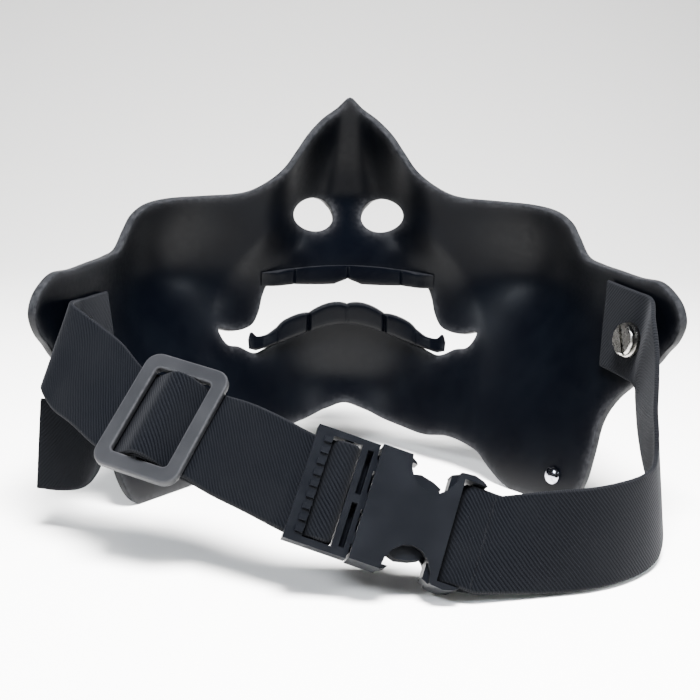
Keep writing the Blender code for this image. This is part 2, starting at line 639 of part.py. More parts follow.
def make_sleeve(material):
    half = BUCKLE_WIDTH / 2.0
    half_thick = BUCKLE_THICK / 2.0
    upper = [(u * SLEEVE_LENGTH, w * half) for u, w in SLEEVE_OUTLINE]
    outline = [(u, -w) for u, w in upper] + list(reversed(upper))
    slot_start, slot_end = (share * SLEEVE_LENGTH for share in SLEEVE_SLOT)
    slot = rounded_rectangle(slot_start, slot_end, -WINDOW_HALF, WINDOW_HALF, SLOT_CORNER, 2)
    body = solid(*prism(outline, -half_thick, half_thick, [slot]))
    inside = half_thick - BUCKLE_WALL
    reach = half - BUCKLE_WALL
    cavity = box(-CUT_ROOM, SLEEVE_CAVITY * SLEEVE_LENGTH, -inside, inside, -reach, reach)
    end = SLEEVE_LENGTH + CUT_ROOM
    slim = BAR_THICK / 2.0
    cuts = [box(slot_start, end, slim, half_thick + CUT_ROOM, -WINDOW_HALF, WINDOW_HALF),
            box(slot_start, end, -half_thick - CUT_ROOM, -slim, -WINDOW_HALF, WINDOW_HALF)]
    turn = np.linspace(0.0, 2.0 * math.pi, 16, endpoint=False)
    for side in (-1.0, 1.0):
        ring = [(0.50 * SLEEVE_LENGTH + SCALLOP_HALF_LENGTH * math.cos(a),
                 side * half + SCALLOP_HALF_WIDTH * math.sin(a)) for a in turn]
        cuts.append(solid(*prism(ring, inside - SCALLOP_OPEN, half_thick + CUT_ROOM)))
        cuts.append(solid(*prism(ring, -half_thick - CUT_ROOM, SCALLOP_OPEN - inside)))
    combine(body, [cavity] + cuts, "DIFFERENCE")
    return finish_piece(body, "buckle_female", BUCKLE_FRAME, material, 0.0)


# One arm of the prong half, from its root round its outer side: u as a share of SLEEVE_LENGTH, w as a share
# of the cavity's half width
ARM_OUTLINE = (
    (0.00, 0.62), (0.30, 0.56), (0.44, 0.50), (0.60, 0.60), (0.60, 0.72), (0.52, 0.80), (0.40, 0.86),
    (0.30, 0.80), (0.00, 0.86),
)
GUIDE_SHARE = 0.52           # length of the middle tongue, as a share of SLEEVE_LENGTH
RIDGE_SHARE = (0.52, 0.96)   # where the grip's ridges start and end across it, as shares of GRIP_WIDTH


def make_prongs(material):
    half = BUCKLE_WIDTH / 2.0
    low = -FRAME_THICK / 2.0
    high = FRAME_THICK / 2.0
    start = -FRAME_LENGTH
    grip_end = start + GRIP_WIDTH
    row = (-PRONG_PLATE - PRONG_OPEN, -PRONG_PLATE)
    frame = box(start, row[0], low, high, -half, half)
    under = low - CUT_ROOM
    window = box(grip_end, -FRAME_END, under, high + CUT_ROOM, -WINDOW_HALF, WINDOW_HALF)
    under_grip = box(start - CUT_ROOM, grip_end + CUT_ROOM, under, -GRIP_BACK, -WINDOW_HALF, WINDOW_HALF)
    combine(frame, [window, under_grip], "DIFFERENCE")
    pieces = [rod(BAR_PLACE, 0.0, BAR_WIDTH, BAR_THICK, WINDOW_HALF + BAR_ROOT)]
    pieces.append(box(row[1], -BUCKLE_RUN, low, high, -half, half))
    half_bridge = BRIDGE_WIDTH / 2.0
    side_bridge = half - half_bridge
    for w in (-side_bridge, 0.0, side_bridge):
        pieces.append(box(row[0] - JOIN, row[1] + JOIN, low, high, w - half_bridge, w + half_bridge))
    pieces.append(box(row[0] - JOIN, row[1] + JOIN, low, low + WEB_THICK, -side_bridge, side_bridge))
    root = -(PRONG_PLATE + BUCKLE_RUN) / 2.0
    inside = BUCKLE_THICK / 2.0 - BUCKLE_WALL - BUCKLE_RUN
    reach = half - BUCKLE_WALL - BUCKLE_RUN
    half_guide = GUIDE_WIDTH / 2.0
    pieces.append(box(root, GUIDE_SHARE * SLEEVE_LENGTH, -inside, inside, -half_guide, half_guide))
    for side in (-1.0, 1.0):
        arm = [(root, w) if u == 0.0 else (u * SLEEVE_LENGTH, w) for u, w in ARM_OUTLINE]
        outline = [(u, side * w * reach) for u, w in arm]
        pieces.append(solid(*prism(outline if side > 0 else outline[::-1], -inside, inside)))
    for k in range(GRIP_RIDGES):
        w = (k - (GRIP_RIDGES - 1) / 2.0) * (2.0 * WINDOW_HALF / GRIP_RIDGES)
        pieces.append(box(start + RIDGE_SHARE[0] * GRIP_WIDTH, start + RIDGE_SHARE[1] * GRIP_WIDTH,
                          high - JOIN, high + RIDGE_RISE, w - RIDGE_WIDTH / 2.0, w + RIDGE_WIDTH / 2.0))
    combine(frame, pieces, "UNION")
    return finish_piece(frame, "buckle_male", BUCKLE_FRAME, material, 0.0)


def station(frame, u, v):
    """Both edges of the strap at a place along a fitting."""
    top = frame @ Vector((u, v, -STRAP_WIDTH / 2.0))
    bottom = frame @ Vector((u, v, STRAP_WIDTH / 2.0))
    return (top, bottom)


def free_station(origin, row):
    """Both edges of the strap at a free place: its middle from an origin, and the direction up across it."""
    middle = Vector(origin) + Vector(row[:3])
    lean = Vector(row[3:]).normalized() * STRAP_WIDTH / 2.0
    return (middle + lean, middle - lean)


def wall_station(side, top_arc, bottom_arc, middle_height):
    """Both edges of the strap on the wall, each at its own arc."""
    half = math.sqrt((STRAP_WIDTH / 2.0) ** 2 - ((top_arc - bottom_arc) / 2.0) ** 2)
    top = Vector(wall_point(side * top_arc, middle_height + half, TAB_OUT))
    bottom = Vector(wall_point(side * bottom_arc, middle_height - half, TAB_OUT))
    middle = (top + bottom) / 2.0
    lean = (top - bottom).normalized() * STRAP_WIDTH / 2.0
    return (middle + lean, middle - lean)


def tab_depth(side):
    """How far out from the wall the middle of the tab lies at the screw; it spans the wall's hollow."""
    top, bottom = wall_station(side, SCREW_ARC, SCREW_ARC, RIGHT_TAB[2][2] * SCREW_HEIGHT)
    share = (SCREW_HEIGHT - bottom.z) / (top.z - bottom.z)
    spot = bottom.lerp(top, share)
    normal = Vector(wall_normal(side * SCREW_ARC, SCREW_HEIGHT))
    return (spot - Vector(screw_place(side))).dot(normal)


def spline(points, steps):
    """An open curve through the points (Catmull-Rom with even spacing by chord), steps values a span."""
    points = np.asarray(points, float)
    ends = np.vstack([2.0 * points[0] - points[1], points, 2.0 * points[-1] - points[-2]])
    t = np.linspace(0.0, 1.0, steps, endpoint=False)[:, None]
    spans = []
    for k in range(1, len(ends) - 2):
        p0, p1, p2, p3 = ends[k - 1:k + 3]
        d0, d1, d2 = (max(np.linalg.norm(b - a), 1e-6) ** 0.5 for a, b in ((p0, p1), (p1, p2), (p2, p3)))
        m1 = (p1 - p0) / d0 - (p2 - p0) / (d0 + d1) + (p2 - p1) / d1
        m2 = (p2 - p1) / d1 - (p3 - p1) / (d1 + d2) + (p3 - p2) / d2
        m1, m2 = m1 * d1, m2 * d1
        spans.append((2 * t ** 3 - 3 * t ** 2 + 1) * p1 + (t ** 3 - 2 * t ** 2 + t) * m1
                     + (-2 * t ** 3 + 3 * t ** 2) * p2 + (t ** 3 - t ** 2) * m2)
    spans.append(points[-1:])
    return np.vstack(spans)


def edges_through(stations, steps):
    """Both edges of the strap, as curves through its stations: rows of points, each a top and a bottom."""
    top = spline([s[0] for s in stations], steps)
    bottom = spline([s[1] for s in stations], steps)
    return np.stack([top, bottom], axis=1)


def second_layer(edges, away):
    """The strap's way back behind its own first layer: the same curve from its end, one layer off."""
    middle = edges.mean(axis=1)
    normal = np.cross(edges[:, 1] - edges[:, 0], np.gradient(middle, axis=0))
    normal /= np.linalg.norm(normal, axis=1, keepdims=True)
    return (edges + away * LAYER * normal[:, None])[::-1]


def ribbon_mesh(name, edges):
    """A strap: a flat section carried along both edge curves, with a wall's thickness about their middle."""
    lines = np.stack([edges[:, 0], edges.mean(axis=1), edges[:, 1]], axis=1)
    across = edges[:, :1] - edges[:, 1:]
    normal = np.cross(np.gradient(lines, axis=0), np.broadcast_to(across, lines.shape))
    shift = normal / np.linalg.norm(normal, axis=2, keepdims=True) * STRAP_THICK / 2.0
    rings = np.concatenate([lines + shift, (lines - shift)[:, ::-1]], axis=1)
    count, sides = rings.shape[:2]
    index = np.arange(count * sides).reshape(count, sides)
    faces = []
    for k in range(count - 1):
        for j in range(sides):
            n = (j + 1) % sides
            faces.append((index[k, j], index[k, n], index[k + 1, n], index[k + 1, j]))
    faces.append(tuple(index[0][::-1]))
    faces.append(tuple(index[-1]))
    return closed_mesh(name, rings.reshape(-1, 3), faces, 40.0)


TAB_OUT = -(STRAP_GAP + STRAP_THICK / 2.0)
LAYER = STRAP_THICK + STRAP_GAP
BAR_TURN = np.radians((-50.0, 0.0, 45.0, 90.0, 135.0, 180.0))   # places round the prong half's bar

# Each screwed end, from its cut edge to where it leaves the wall: arcs of its top and its bottom edge as
# shares of SCREW_ARC, then the height of its middle as a share of SCREW_HEIGHT
RIGHT_TAB = ((0.864, 0.871, 1.045), (0.953, 0.946, 1.031), (1.000, 0.972, 1.024), (1.052, 0.998, 1.014))
LEFT_TAB = ((0.826, 0.826, 0.931), (0.903, 0.921, 0.937), (0.948, 0.984, 0.941), (0.979, 1.029, 0.949))

# Free stations of both straps after their tabs, in metres from the screw's place on the wall: x, y, z, then
# the direction of the strap's width
RIGHT_START = (
    (-0.0007, -0.0101, -0.0018, 0.02, -0.45, 0.88),
    (-0.0006, -0.0134, -0.0073, 0.00, -0.68, 0.73),
    (-0.0011, -0.0184, -0.0150, -0.03, -0.68, 0.73),
    (-0.0011, -0.0231, -0.0225, -0.09, -0.55, 0.83),
)
LEFT_START = (
    (-0.0017, -0.0121, -0.0010, 0.26, 0.50, 0.83),
    (0.0041, -0.0188, -0.0050, 0.50, 0.33, 0.80),
    (0.0102, -0.0248, -0.0080, 0.48, 0.44, 0.76),
)

# Free stations on to the buckle, in metres from the middle of the lips
RIGHT_ROUTE = (
    (0.0784, -0.0940, 0.0222, -0.16, -0.35, 0.92),
    (0.0779, -0.0990, 0.0168, -0.16, -0.14, 0.98),
    (0.0755, -0.1055, 0.0142, -0.10, 0.02, 0.99),
    (0.0708, -0.1122, 0.0134, -0.04, 0.11, 0.99),
    (0.0632, -0.1188, 0.0133, 0.00, 0.17, 0.98),
    (0.0550, -0.1232, 0.0132, 0.02, 0.18, 0.98),
    (0.0461, -0.1256, 0.0132, 0.05, 0.20, 0.98),
)

MIDDLE_ROUTE = (
    (-0.0333, -0.1110, 0.0318, 0.40, 0.44, 0.80),
    (-0.0258, -0.1164, 0.0298, 0.35, 0.42, 0.84),
)
# The free end, behind the left strap
TAIL_ROUTE = (
    (-0.0650, -0.0908, 0.0308, 0.30, 0.36, 0.88),
    (-0.0708, -0.0872, 0.0262, 0.18, 0.14, 0.97),
    (-0.0780, -0.0842, 0.0243, 0.10, 0.04, 1.00),
    (-0.0851, -0.0820, 0.0241, 0.06, 0.00, 1.00),
)


def screw_place(side):
    return wall_point(side * SCREW_ARC, SCREW_HEIGHT)


def tab_stations(side, rows):
    """The end screwed to the wall, from its cut edge to where it leaves the wall."""
    return [wall_station(side, top * SCREW_ARC, bottom * SCREW_ARC, middle * SCREW_HEIGHT)
            for top, bottom, middle in rows]


def right_edges(steps):
    """The right strap: its tab, its free run, and its end laid round the sleeve's bar and sewn down."""
    slot = 0.5 * (SLEEVE_SLOT[0] + SLEEVE_SLOT[1]) * SLEEVE_LENGTH
    front = BAR_THICK / 2.0 + STRAP_GAP + STRAP_THICK / 2.0
    stations = tab_stations(1.0, RIGHT_TAB)
    stations += [free_station(screw_place(1.0), row) for row in RIGHT_START]
    stations += [free_station(LIPS, row) for row in RIGHT_ROUTE]
    run = edges_through(stations + [station(BUCKLE_FRAME, SLEEVE_LENGTH + SEWN_LIFT, front)], steps)
    reach = np.cumsum(np.linalg.norm(np.diff(run.mean(axis=1)[::-1], axis=0), axis=1))
    sewn = int(np.searchsorted(reach, SEWN_BACK)) + 1
    back = second_layer(run[-sewn:], 1.0)[1:]
    round_bar = [tuple(run[-2]), tuple(run[-1]), station(BUCKLE_FRAME, slot + SLOT_LIE, front)]
    round_bar += [station(BUCKLE_FRAME, slot, 0.0), station(BUCKLE_FRAME, slot + SLOT_LIE, -front)]
    round_bar += [station(BUCKLE_FRAME, SLEEVE_LENGTH, -front), tuple(back[0]), tuple(back[1])]
    turned = edges_through(round_bar, steps)[steps:-steps]
    return np.vstack([run[:-1], turned[:-1], back])


def left_edges(steps):
    """The left strap: through the slider, round the prong half's bar, and back behind itself to its end."""
    under = -(SLIDER_THICK / 2.0 + STRAP_GAP + STRAP_THICK / 2.0)
    over = SLIDER_BAR_TOP + STRAP_GAP + STRAP_THICK / 2.0
    half = SLIDER_LENGTH / 2.0
    inner = half - SLIDER_SIDE - STRAP_GAP
    grip = -(GRIP_BACK + STRAP_GAP + STRAP_THICK / 2.0)
    lap = BAR_THICK / 2.0 + STRAP_GAP + STRAP_THICK / 2.0
    turn = BAR_WIDTH / 2.0 + STRAP_GAP + STRAP_THICK / 2.0
    first = tab_stations(-1.0, LEFT_TAB) + [free_station(screw_place(-1.0), row) for row in LEFT_START]
    behind_from = len(first)
    first += [station(SLIDER_FRAME, -half, under), station(SLIDER_FRAME, -inner, under)]
    first += [station(SLIDER_FRAME, u * SLIDER_BAR, over + LAYER) for u in (-0.5, 0.5)]
    first += [station(SLIDER_FRAME, inner, under), station(SLIDER_FRAME, half, under)]
    first += [free_station(LIPS, row) for row in MIDDLE_ROUTE]
    first += [station(BUCKLE_FRAME, u, grip) for u in (-FRAME_LENGTH, GRIP_WIDTH - FRAME_LENGTH)]
    run = edges_through(first, steps)
    back = second_layer(run[behind_from * steps:], -1.0)
    round_bar = [tuple(run[-2]), tuple(run[-1])]
    round_bar += [station(BUCKLE_FRAME, BAR_PLACE + turn * math.sin(a), lap * math.cos(a)) for a in BAR_TURN]
    round_bar += [tuple(back[0]), tuple(back[1])]
    turned = edges_through(round_bar, steps)[steps:-steps]
    tail = [tuple(back[-2]), tuple(back[-1])] + [free_station(LIPS, row) for row in TAIL_ROUTE]
    return np.vstack([run[:-1], turned[:-1], back[:-1], edges_through(tail, steps)[steps:]])


def turned_mesh(name, profile, sides, frame):
    """A body turned about its axis: rows of radius and distance along it, the first and last on the axis."""
    turn = np.linspace(0.0, 2.0 * math.pi, sides, endpoint=False)
    ring = np.stack([np.cos(turn), np.sin(turn)], axis=1)
    points = [(0.0, 0.0, profile[0][1])]
    for radius, along in profile[1:-1]:
        points += [(radius * c, radius * s, along) for c, s in ring]
    points.append((0.0, 0.0, profile[-1][1]))
    rings = len(profile) - 2
    faces = []
    for j in range(sides):
        n = (j + 1) % sides
        faces.append((0, 1 + n, 1 + j))
        for k in range(rings - 1):
            a, b = 1 + k * sides, 1 + (k + 1) * sides
            faces.append((a + j, a + n, b + n, b + j))
        last = 1 + (rings - 1) * sides
        faces.append((last + j, last + n, len(points) - 1))
    mesh = closed_mesh(name, points, faces, 40.0)
    mesh.transform(frame)
    return mesh


def make_screw(side, name, material):
    """Slotted head on the strap, with a plain shank through the strap and the wall."""
    head_seat = tab_depth(side) - STRAP_THICK / 2.0 - STRAP_GAP
    frame = wall_frame(side, SCREW_ARC, SCREW_HEIGHT, head_seat)
    shank = -head_seat + WALL - SHANK_SHORT
    r = SCREW_HEAD_RADIUS
    profile = ((0.0, -SCREW_HEAD_THICK), (0.86 * r, -SCREW_HEAD_THICK), (r, -0.86 * SCREW_HEAD_THICK),
               (r, 0.0), (SCREW_SHANK_RADIUS, 0.0), (SCREW_SHANK_RADIUS, shank), (0.0, shank))
    head = bpy.data.objects.new(name, turned_mesh(name, profile, ROUND_SIDES, Matrix.Identity(4)))
    bpy.context.collection.objects.link(head)
    slot = box(-2.0 * r, 2.0 * r, -SCREW_SLOT / 2.0, SCREW_SLOT / 2.0, -SCREW_HEAD_THICK - CUT_ROOM,
               -0.55 * SCREW_HEAD_THICK)
    slot.data.transform(Matrix.Rotation(math.radians(SCREW_TURN), 4, "Z"))
    combine(head, [slot], "DIFFERENCE")
    return finish_piece(head, name, frame, material, 0.0)


def make_post(side, name, material):
    """Flat cap outside the wall that closes the screw's hole."""
    frame = wall_frame(side, SCREW_ARC, SCREW_HEIGHT, WALL + POST_GAP)
    profile = ((0.0, 0.0), (POST_RADIUS, 0.0), (POST_RADIUS, 0.6 * POST_THICK),
               (0.8 * POST_RADIUS, POST_THICK), (0.0, POST_THICK))
    return add_object(name, turned_mesh(name, profile, ROUND_SIDES, frame), material)


def make_stud(side, name, material):
    """Small dome inside the jaw, on a stem that ends flush in the wall."""
    frame = wall_frame(side, STUD_ARC, STUD_HEIGHT, -BORE_GAP)
    r = STUD_RADIUS
    profile = ((0.0, -STUD_RISE), (0.45 * r, -0.92 * STUD_RISE), (0.80 * r, -0.60 * STUD_RISE), (r, 0.0),
               (STUD_STEM_RADIUS, 0.0), (STUD_STEM_RADIUS, WALL), (0.0, WALL))
    return add_object(name, turned_mesh(name, profile, 16, frame), material)


def drill_strap(item, side):
    """The screw's hole through the strap's tab."""
    frame = wall_frame(side, SCREW_ARC, SCREW_HEIGHT, 0.0)
    radius = SCREW_SHANK_RADIUS + BORE_GAP
    turn = np.linspace(0.0, 2.0 * math.pi, 12, endpoint=False)
    ring = [(radius * math.cos(a), radius * math.sin(a)) for a in turn]
    drill = solid(*prism(ring, -DRILL_REACH, DRILL_REACH))
    drill.data.transform(frame @ Matrix.Rotation(math.radians(90.0), 4, "X"))
    combine(item, [drill], "DIFFERENCE")


def build():
    clear_scene()
    plastic = make_material("satin_black_plastic", (0.012, 0.013, 0.017), 0.42)
    elastic = make_material("black_elastic", (0.018, 0.018, 0.020), 0.90)
    grey = make_material("grey_satin_plastic", (0.13, 0.13, 0.14), 0.45)
    dark = make_material("dark_plastic", (0.035, 0.035, 0.038), 0.45)
    nickel = make_material("nickel", (0.62, 0.60, 0.56), 0.25, 1.0)
    chrome = make_material("dark_chrome", (0.35, 0.35, 0.38), 0.15, 1.0)
    add_object("mask_shell", shell_mesh(SHELL_STEP, RIM_STEP), plastic)
    add_object("upper_teeth", upper_teeth_mesh(), plastic)
    add_object("lower_teeth", lower_teeth_mesh(), plastic)
    right = add_object("strap_right", ribbon_mesh("strap_right", right_edges(STRAP_STEPS)), elastic)
    drill_strap(right, 1.0)
    left = add_object("strap_left", ribbon_mesh("strap_left", left_edges(STRAP_STEPS)), elastic)
    drill_strap(left, -1.0)
    make_slider(grey)
    make_sleeve(dark)
    make_prongs(dark)
    for side, word in ((1.0, "right"), (-1.0, "left")):
        make_screw(side, "strap_screw_" + word, nickel)
        make_post(side, "strap_post_" + word, nickel)
        make_stud(side, "jaw_stud_" + word, chrome)


build()
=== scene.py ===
"""Half-face guard in the old warrior style, seen from behind, with its fastened elastic strap.

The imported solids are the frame. Each section below dresses one piece of it, in the order in which
the guard is put together: shell, teeth, studs, strap, screws, slider, buckle.
Metres, +Z up, the hollow side towards -Y.
"""

import math

import bmesh
import bpy
import numpy as np
from mathutils import Matrix, Vector
from mathutils.geometry import delaunay_2d_cdt


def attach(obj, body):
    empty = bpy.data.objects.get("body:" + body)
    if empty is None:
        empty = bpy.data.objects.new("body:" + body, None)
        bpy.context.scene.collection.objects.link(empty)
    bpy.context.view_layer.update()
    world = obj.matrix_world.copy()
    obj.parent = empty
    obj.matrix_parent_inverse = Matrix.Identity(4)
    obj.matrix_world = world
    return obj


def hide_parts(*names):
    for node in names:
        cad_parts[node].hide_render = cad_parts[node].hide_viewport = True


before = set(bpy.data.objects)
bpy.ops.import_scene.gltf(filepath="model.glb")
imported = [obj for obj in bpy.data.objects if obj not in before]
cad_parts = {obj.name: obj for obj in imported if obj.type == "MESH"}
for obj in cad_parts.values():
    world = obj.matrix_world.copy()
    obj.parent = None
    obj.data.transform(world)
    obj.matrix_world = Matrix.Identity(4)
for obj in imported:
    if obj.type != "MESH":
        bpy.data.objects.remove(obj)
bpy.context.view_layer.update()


# Camera
# A hand camera a little above the table, behind the guard, tipped by about a degree.
camera_azimuth, camera_elevation, camera_roll = np.radians((2.93, 12.0, -1.31))
camera_target = np.array([0.00134, 0.0580, 0.03315])
camera_distance = 0.43975
forward = np.array([
    math.sin(camera_azimuth) * math.cos(camera_elevation),
    math.cos(camera_azimuth) * math.cos(camera_elevation),
    -math.sin(camera_elevation),
])
level = np.array([math.cos(camera_azimuth), -math.sin(camera_azimuth), 0.0])
down = np.cross(forward, level)
image_right = level * math.cos(camera_roll) + down * math.sin(camera_roll)
image_down = down * math.cos(camera_roll) - level * math.sin(camera_roll)
camera_place = camera_target - forward * camera_distance

camera_data = bpy.data.cameras.new("camera")
camera_data.sensor_width = 36.0
camera_data.lens = 68.91
camera_data.clip_start = 0.01
camera = bpy.data.objects.new("camera", camera_data)
bpy.context.scene.collection.objects.link(camera)
axes = np.stack([image_right, -image_down, -forward, camera_place], axis=1)
camera.matrix_world = Matrix([*axes.tolist(), [0.0, 0.0, 0.0, 1.0]])
bpy.context.scene.camera = camera


# Studio
# A pale seamless sweep under and behind the guard. One large soft lamp stands above and in front, where
# it throws the shadows back and shows in nothing glossy, and a weak cool one stands on each side.
def put_mesh(name, points, faces, sharp_degrees=None):
    """Points and faces become an object at the origin. If the volume under its faces, the sum of each
    triangle's corner product, comes out negative, every face is turned round."""
    points = np.asarray(points, float).reshape(-1, 3)
    mesh = bpy.data.meshes.new(name)
    mesh.from_pydata(points.tolist(), [], [list(map(int, face)) for face in faces])
    mesh.update()
    mesh.calc_loop_triangles()
    corners = np.zeros(3 * len(mesh.loop_triangles), np.int32)
    mesh.loop_triangles.foreach_get("vertices", corners)
    a, b, c = (points[corners.reshape(-1, 3)[:, k]] for k in range(3))
    if np.einsum("ij,ij->i", a - points.mean(axis=0), np.cross(b - a, c - a)).sum() < 0.0:
        mesh.flip_normals()
    mesh.shade_smooth()
    if sharp_degrees is not None:
        mesh.set_sharp_from_angle(angle=math.radians(sharp_degrees))
    piece = bpy.data.objects.new(name, mesh)
    bpy.context.scene.collection.objects.link(piece)
    return piece


def grid_faces(rows, columns, round_rows=False, round_columns=False, first=0):
    """Quads between neighbouring points of a grid whose points are numbered row by row."""
    r = np.arange(rows if round_rows else rows - 1)[:, None]
    c = np.arange(columns if round_columns else columns - 1)[None]
    r1, c1 = (r + 1) % rows, (c + 1) % columns
    quads = np.stack([r * columns + c, r * columns + c1, r1 * columns + c1, r1 * columns + c], axis=-1)
    return (quads.reshape(-1, 4) + first).tolist()


def new_material(name, colour, roughness, metallic=0.0):
    material = bpy.data.materials.new(name)
    material.use_nodes = True
    shader = material.node_tree.nodes["Principled BSDF"]
    shader.inputs["Base Color"].default_value = (*colour, 1.0)
    shader.inputs["Roughness"].default_value = roughness
    shader.inputs["Metallic"].default_value = metallic
    return material, material.node_tree, shader


def add_lamp(name, place, aim, width, height, power, colour, spread_degrees=180.0):
    data = bpy.data.lights.new(name, "AREA")
    data.shape = "RECTANGLE"
    data.size, data.size_y = width, height
    data.energy = power
    data.spread = math.radians(spread_degrees)
    data.color = colour
    lamp = bpy.data.objects.new(name, data)
    lamp.location = place
    lamp.rotation_euler = (Vector(aim) - Vector(place)).to_track_quat("-Z", "Y").to_euler()
    bpy.context.scene.collection.objects.link(lamp)
    return lamp


sweep_bend_start, sweep_radius, sweep_half, sweep_near, sweep_top = 0.42, 0.50, 2.2, -1.2, 2.2
bend = np.linspace(0.0, math.pi / 2.0, 24)
table_y = np.linspace(sweep_near, sweep_bend_start, 12)[:-1]
sweep_y = np.concatenate([table_y, sweep_bend_start + sweep_radius * np.sin(bend),
                          [sweep_bend_start + sweep_radius]])
sweep_z = np.concatenate([0.0 * table_y, sweep_radius * (1.0 - np.cos(bend)), [sweep_top]])
sweep_x = np.linspace(-sweep_half, sweep_half, 9)
sweep_points = np.stack(np.broadcast_arrays(sweep_x[None], sweep_y[:, None], sweep_z[:, None]), axis=-1)
sweep = put_mesh("studio_sweep", sweep_points, grid_faces(len(sweep_y), len(sweep_x)))
sweep_material, _, _ = new_material("sweep_paper", (0.88, 0.875, 0.87), 0.45)
sweep.data.materials.append(sweep_material)

world = bpy.data.worlds.new("studio_air")
world.use_nodes = True
world.node_tree.nodes["Background"].inputs["Color"].default_value = (0.86, 0.93, 1.0, 1.0)
world.node_tree.nodes["Background"].inputs["Strength"].default_value = 0.04
bpy.context.scene.world = world
lamp_white, lamp_cool = (1.0, 0.995, 0.985), (0.90, 0.95, 1.0)
lamp_over = add_lamp("lamp_over", (0.03, -0.21, 0.61), (0.02, 0.03, 0.0), 0.26, 0.22, 29.0, lamp_white, 125.0)
lamp_over.visible_glossy = False
add_lamp("lamp_left", (-0.55, -0.40, 0.55), (0.0, 0.0, 0.05), 0.18, 0.18, 1.0, lamp_cool, 60.0)
add_lamp("lamp_right", (0.60, -0.45, 0.50), (0.02, -0.02, 0.05), 0.18, 0.18, 0.7, lamp_cool, 60.0)


# Shell
# The guard itself: one moulded half face of satin black plastic, open behind, about 2.4 mm thick.
# Its rim is as thick as its wall and a little rounded, and the mouth and both nostrils are open.
HALF_ARC, HEIGHT, WALL = 0.1302, 0.114, 0.0024
MOUTH_HALF_ARC, MOUTH_TOP = 0.0430, 0.0568
NOSTRIL_ARC, NOSTRIL_HEIGHT, NOSTRIL_HALF_WIDTH, NOSTRIL_HALF_HEIGHT = 0.0110, 0.0764, 0.0064, 0.0051
LIPS_PLACE = np.array([0.0, 0.0580, 0.0])
SHELL_STEP, RIM_STEP, RIM_ROUND = 0.00125, 0.0009, 0.00045


def ease(t):
    """0 before 0, 1 after 1, and 3t^2 - 2t^3 between."""
    t = np.clip(t, 0.0, 1.0)
    return t * t * (3.0 - 2.0 * t)


def soft_table(x, places, values, spread):
    """A table read by straight lines and averaged over five places, so that its corners are round."""
    taps = ((-1.0, 1.0), (-0.5, 2.0), (0.0, 3.0), (0.5, 2.0), (1.0, 1.0))
    return sum(weight * np.interp(x + step * spread, places, values) for step, weight in taps) / 9.0


arc_samples = np.linspace(0.0, 1.25 * HALF_ARC, 1200)


def plan_curve(turn_start, turn_end, turn_degrees):
    """A curve seen from above: its heading eases from along X to the full turn, and x and y are the sums
    of the heading's cosine and sine along the arc."""
    heading = math.radians(turn_degrees) * ease((arc_samples - turn_start) / (turn_end - turn_start))
    run = np.cumsum(0.5 * (np.cos(heading[1:]) + np.cos(heading[:-1])) * arc_samples[1])
    back = np.cumsum(0.5 * (np.sin(heading[1:]) + np.sin(heading[:-1])) * arc_samples[1])
    return np.concatenate([[0.0], run]), -np.concatenate([[0.0], back])


cheek_plan = plan_curve(0.014, 0.092, 70.0)
jaw_plan = plan_curve(0.0, 0.026, 52.0)


def wall_base(arc, height):
    """The inner face without relief: x and y go from the jaw's plan curve to the cheek's as height
    eases up to 62 mm, and the face leans back by a tenth of its height."""
    reach = np.abs(arc)
    blend = ease(height / 0.062)
    jaw_x, jaw_y = (np.interp(reach, arc_samples, values) for values in jaw_plan)
    cheek_x, cheek_y = (np.interp(reach, arc_samples, values) for values in cheek_plan)
    x = (1.0 - blend) * jaw_x + blend * cheek_x
    y = (1.0 - blend) * jaw_y + blend * cheek_y - 0.10 * height
    return np.stack([np.sign(arc) * x, y, height], axis=-1)


NOSE_DEPTH, NOSE_HALF_WIDTH, MUZZLE_DEPTH, CHEEK_DEPTH, CHIN_DEPTH = 0.0254, 0.0185, 0.0062, 0.006, 0.005
# Nose: shares of HEIGHT, NOSE_DEPTH and NOSE_HALF_WIDTH
nose_sections = np.array([
    (0.50, 0.00, 1.20), (0.57, 0.18, 1.14), (0.63, 0.55, 1.06), (0.70, 0.97, 1.00), (0.79, 1.00, 0.86),
    (0.88, 0.88, 0.68), (1.00, 0.74, 0.52),
]).T

# Muzzle round the mouth: shares of HEIGHT, MUZZLE_DEPTH and, for its half width, HALF_ARC
muzzle_sections = np.array([
    (0.08, 0.00, 0.33), (0.20, 0.42, 0.32), (0.32, 0.92, 0.31), (0.42, 1.00, 0.285), (0.50, 1.00, 0.255),
    (0.57, 0.86, 0.215), (0.63, 0.55, 0.17), (0.70, 0.18, 0.13), (0.76, 0.00, 0.11),
]).T


def relief(arc, height):
    """How far the face stands out: a nose that falls off as exp(-d^3), a muzzle with eased sides, and
    round bulges exp(-d^2) for the cheeks and the chin."""
    reach = np.abs(arc)
    depth = NOSE_DEPTH * soft_table(height / HEIGHT, nose_sections[0], nose_sections[1], 0.035)
    width = NOSE_HALF_WIDTH * soft_table(height / HEIGHT, nose_sections[0], nose_sections[2], 0.035)
    nose = depth * np.exp(-((reach / width) ** 3.0))
    half = HALF_ARC * soft_table(height / HEIGHT, muzzle_sections[0], muzzle_sections[2], 0.03)
    muzzle = MUZZLE_DEPTH * soft_table(height / HEIGHT, muzzle_sections[0], muzzle_sections[1], 0.04)
    muzzle = muzzle * (1.0 - ease((reach / half - 0.60) / 0.62))
    across, up = reach / HALF_ARC, height / HEIGHT
    cheek = CHEEK_DEPTH * np.exp(-((across - 0.44) / 0.16) ** 2 - ((up - 0.54) / 0.14) ** 2)
    chin = CHIN_DEPTH * np.exp(-(across / 0.13) ** 2 - ((up - 0.20) / 0.09) ** 2)
    return nose + muzzle + cheek + chin


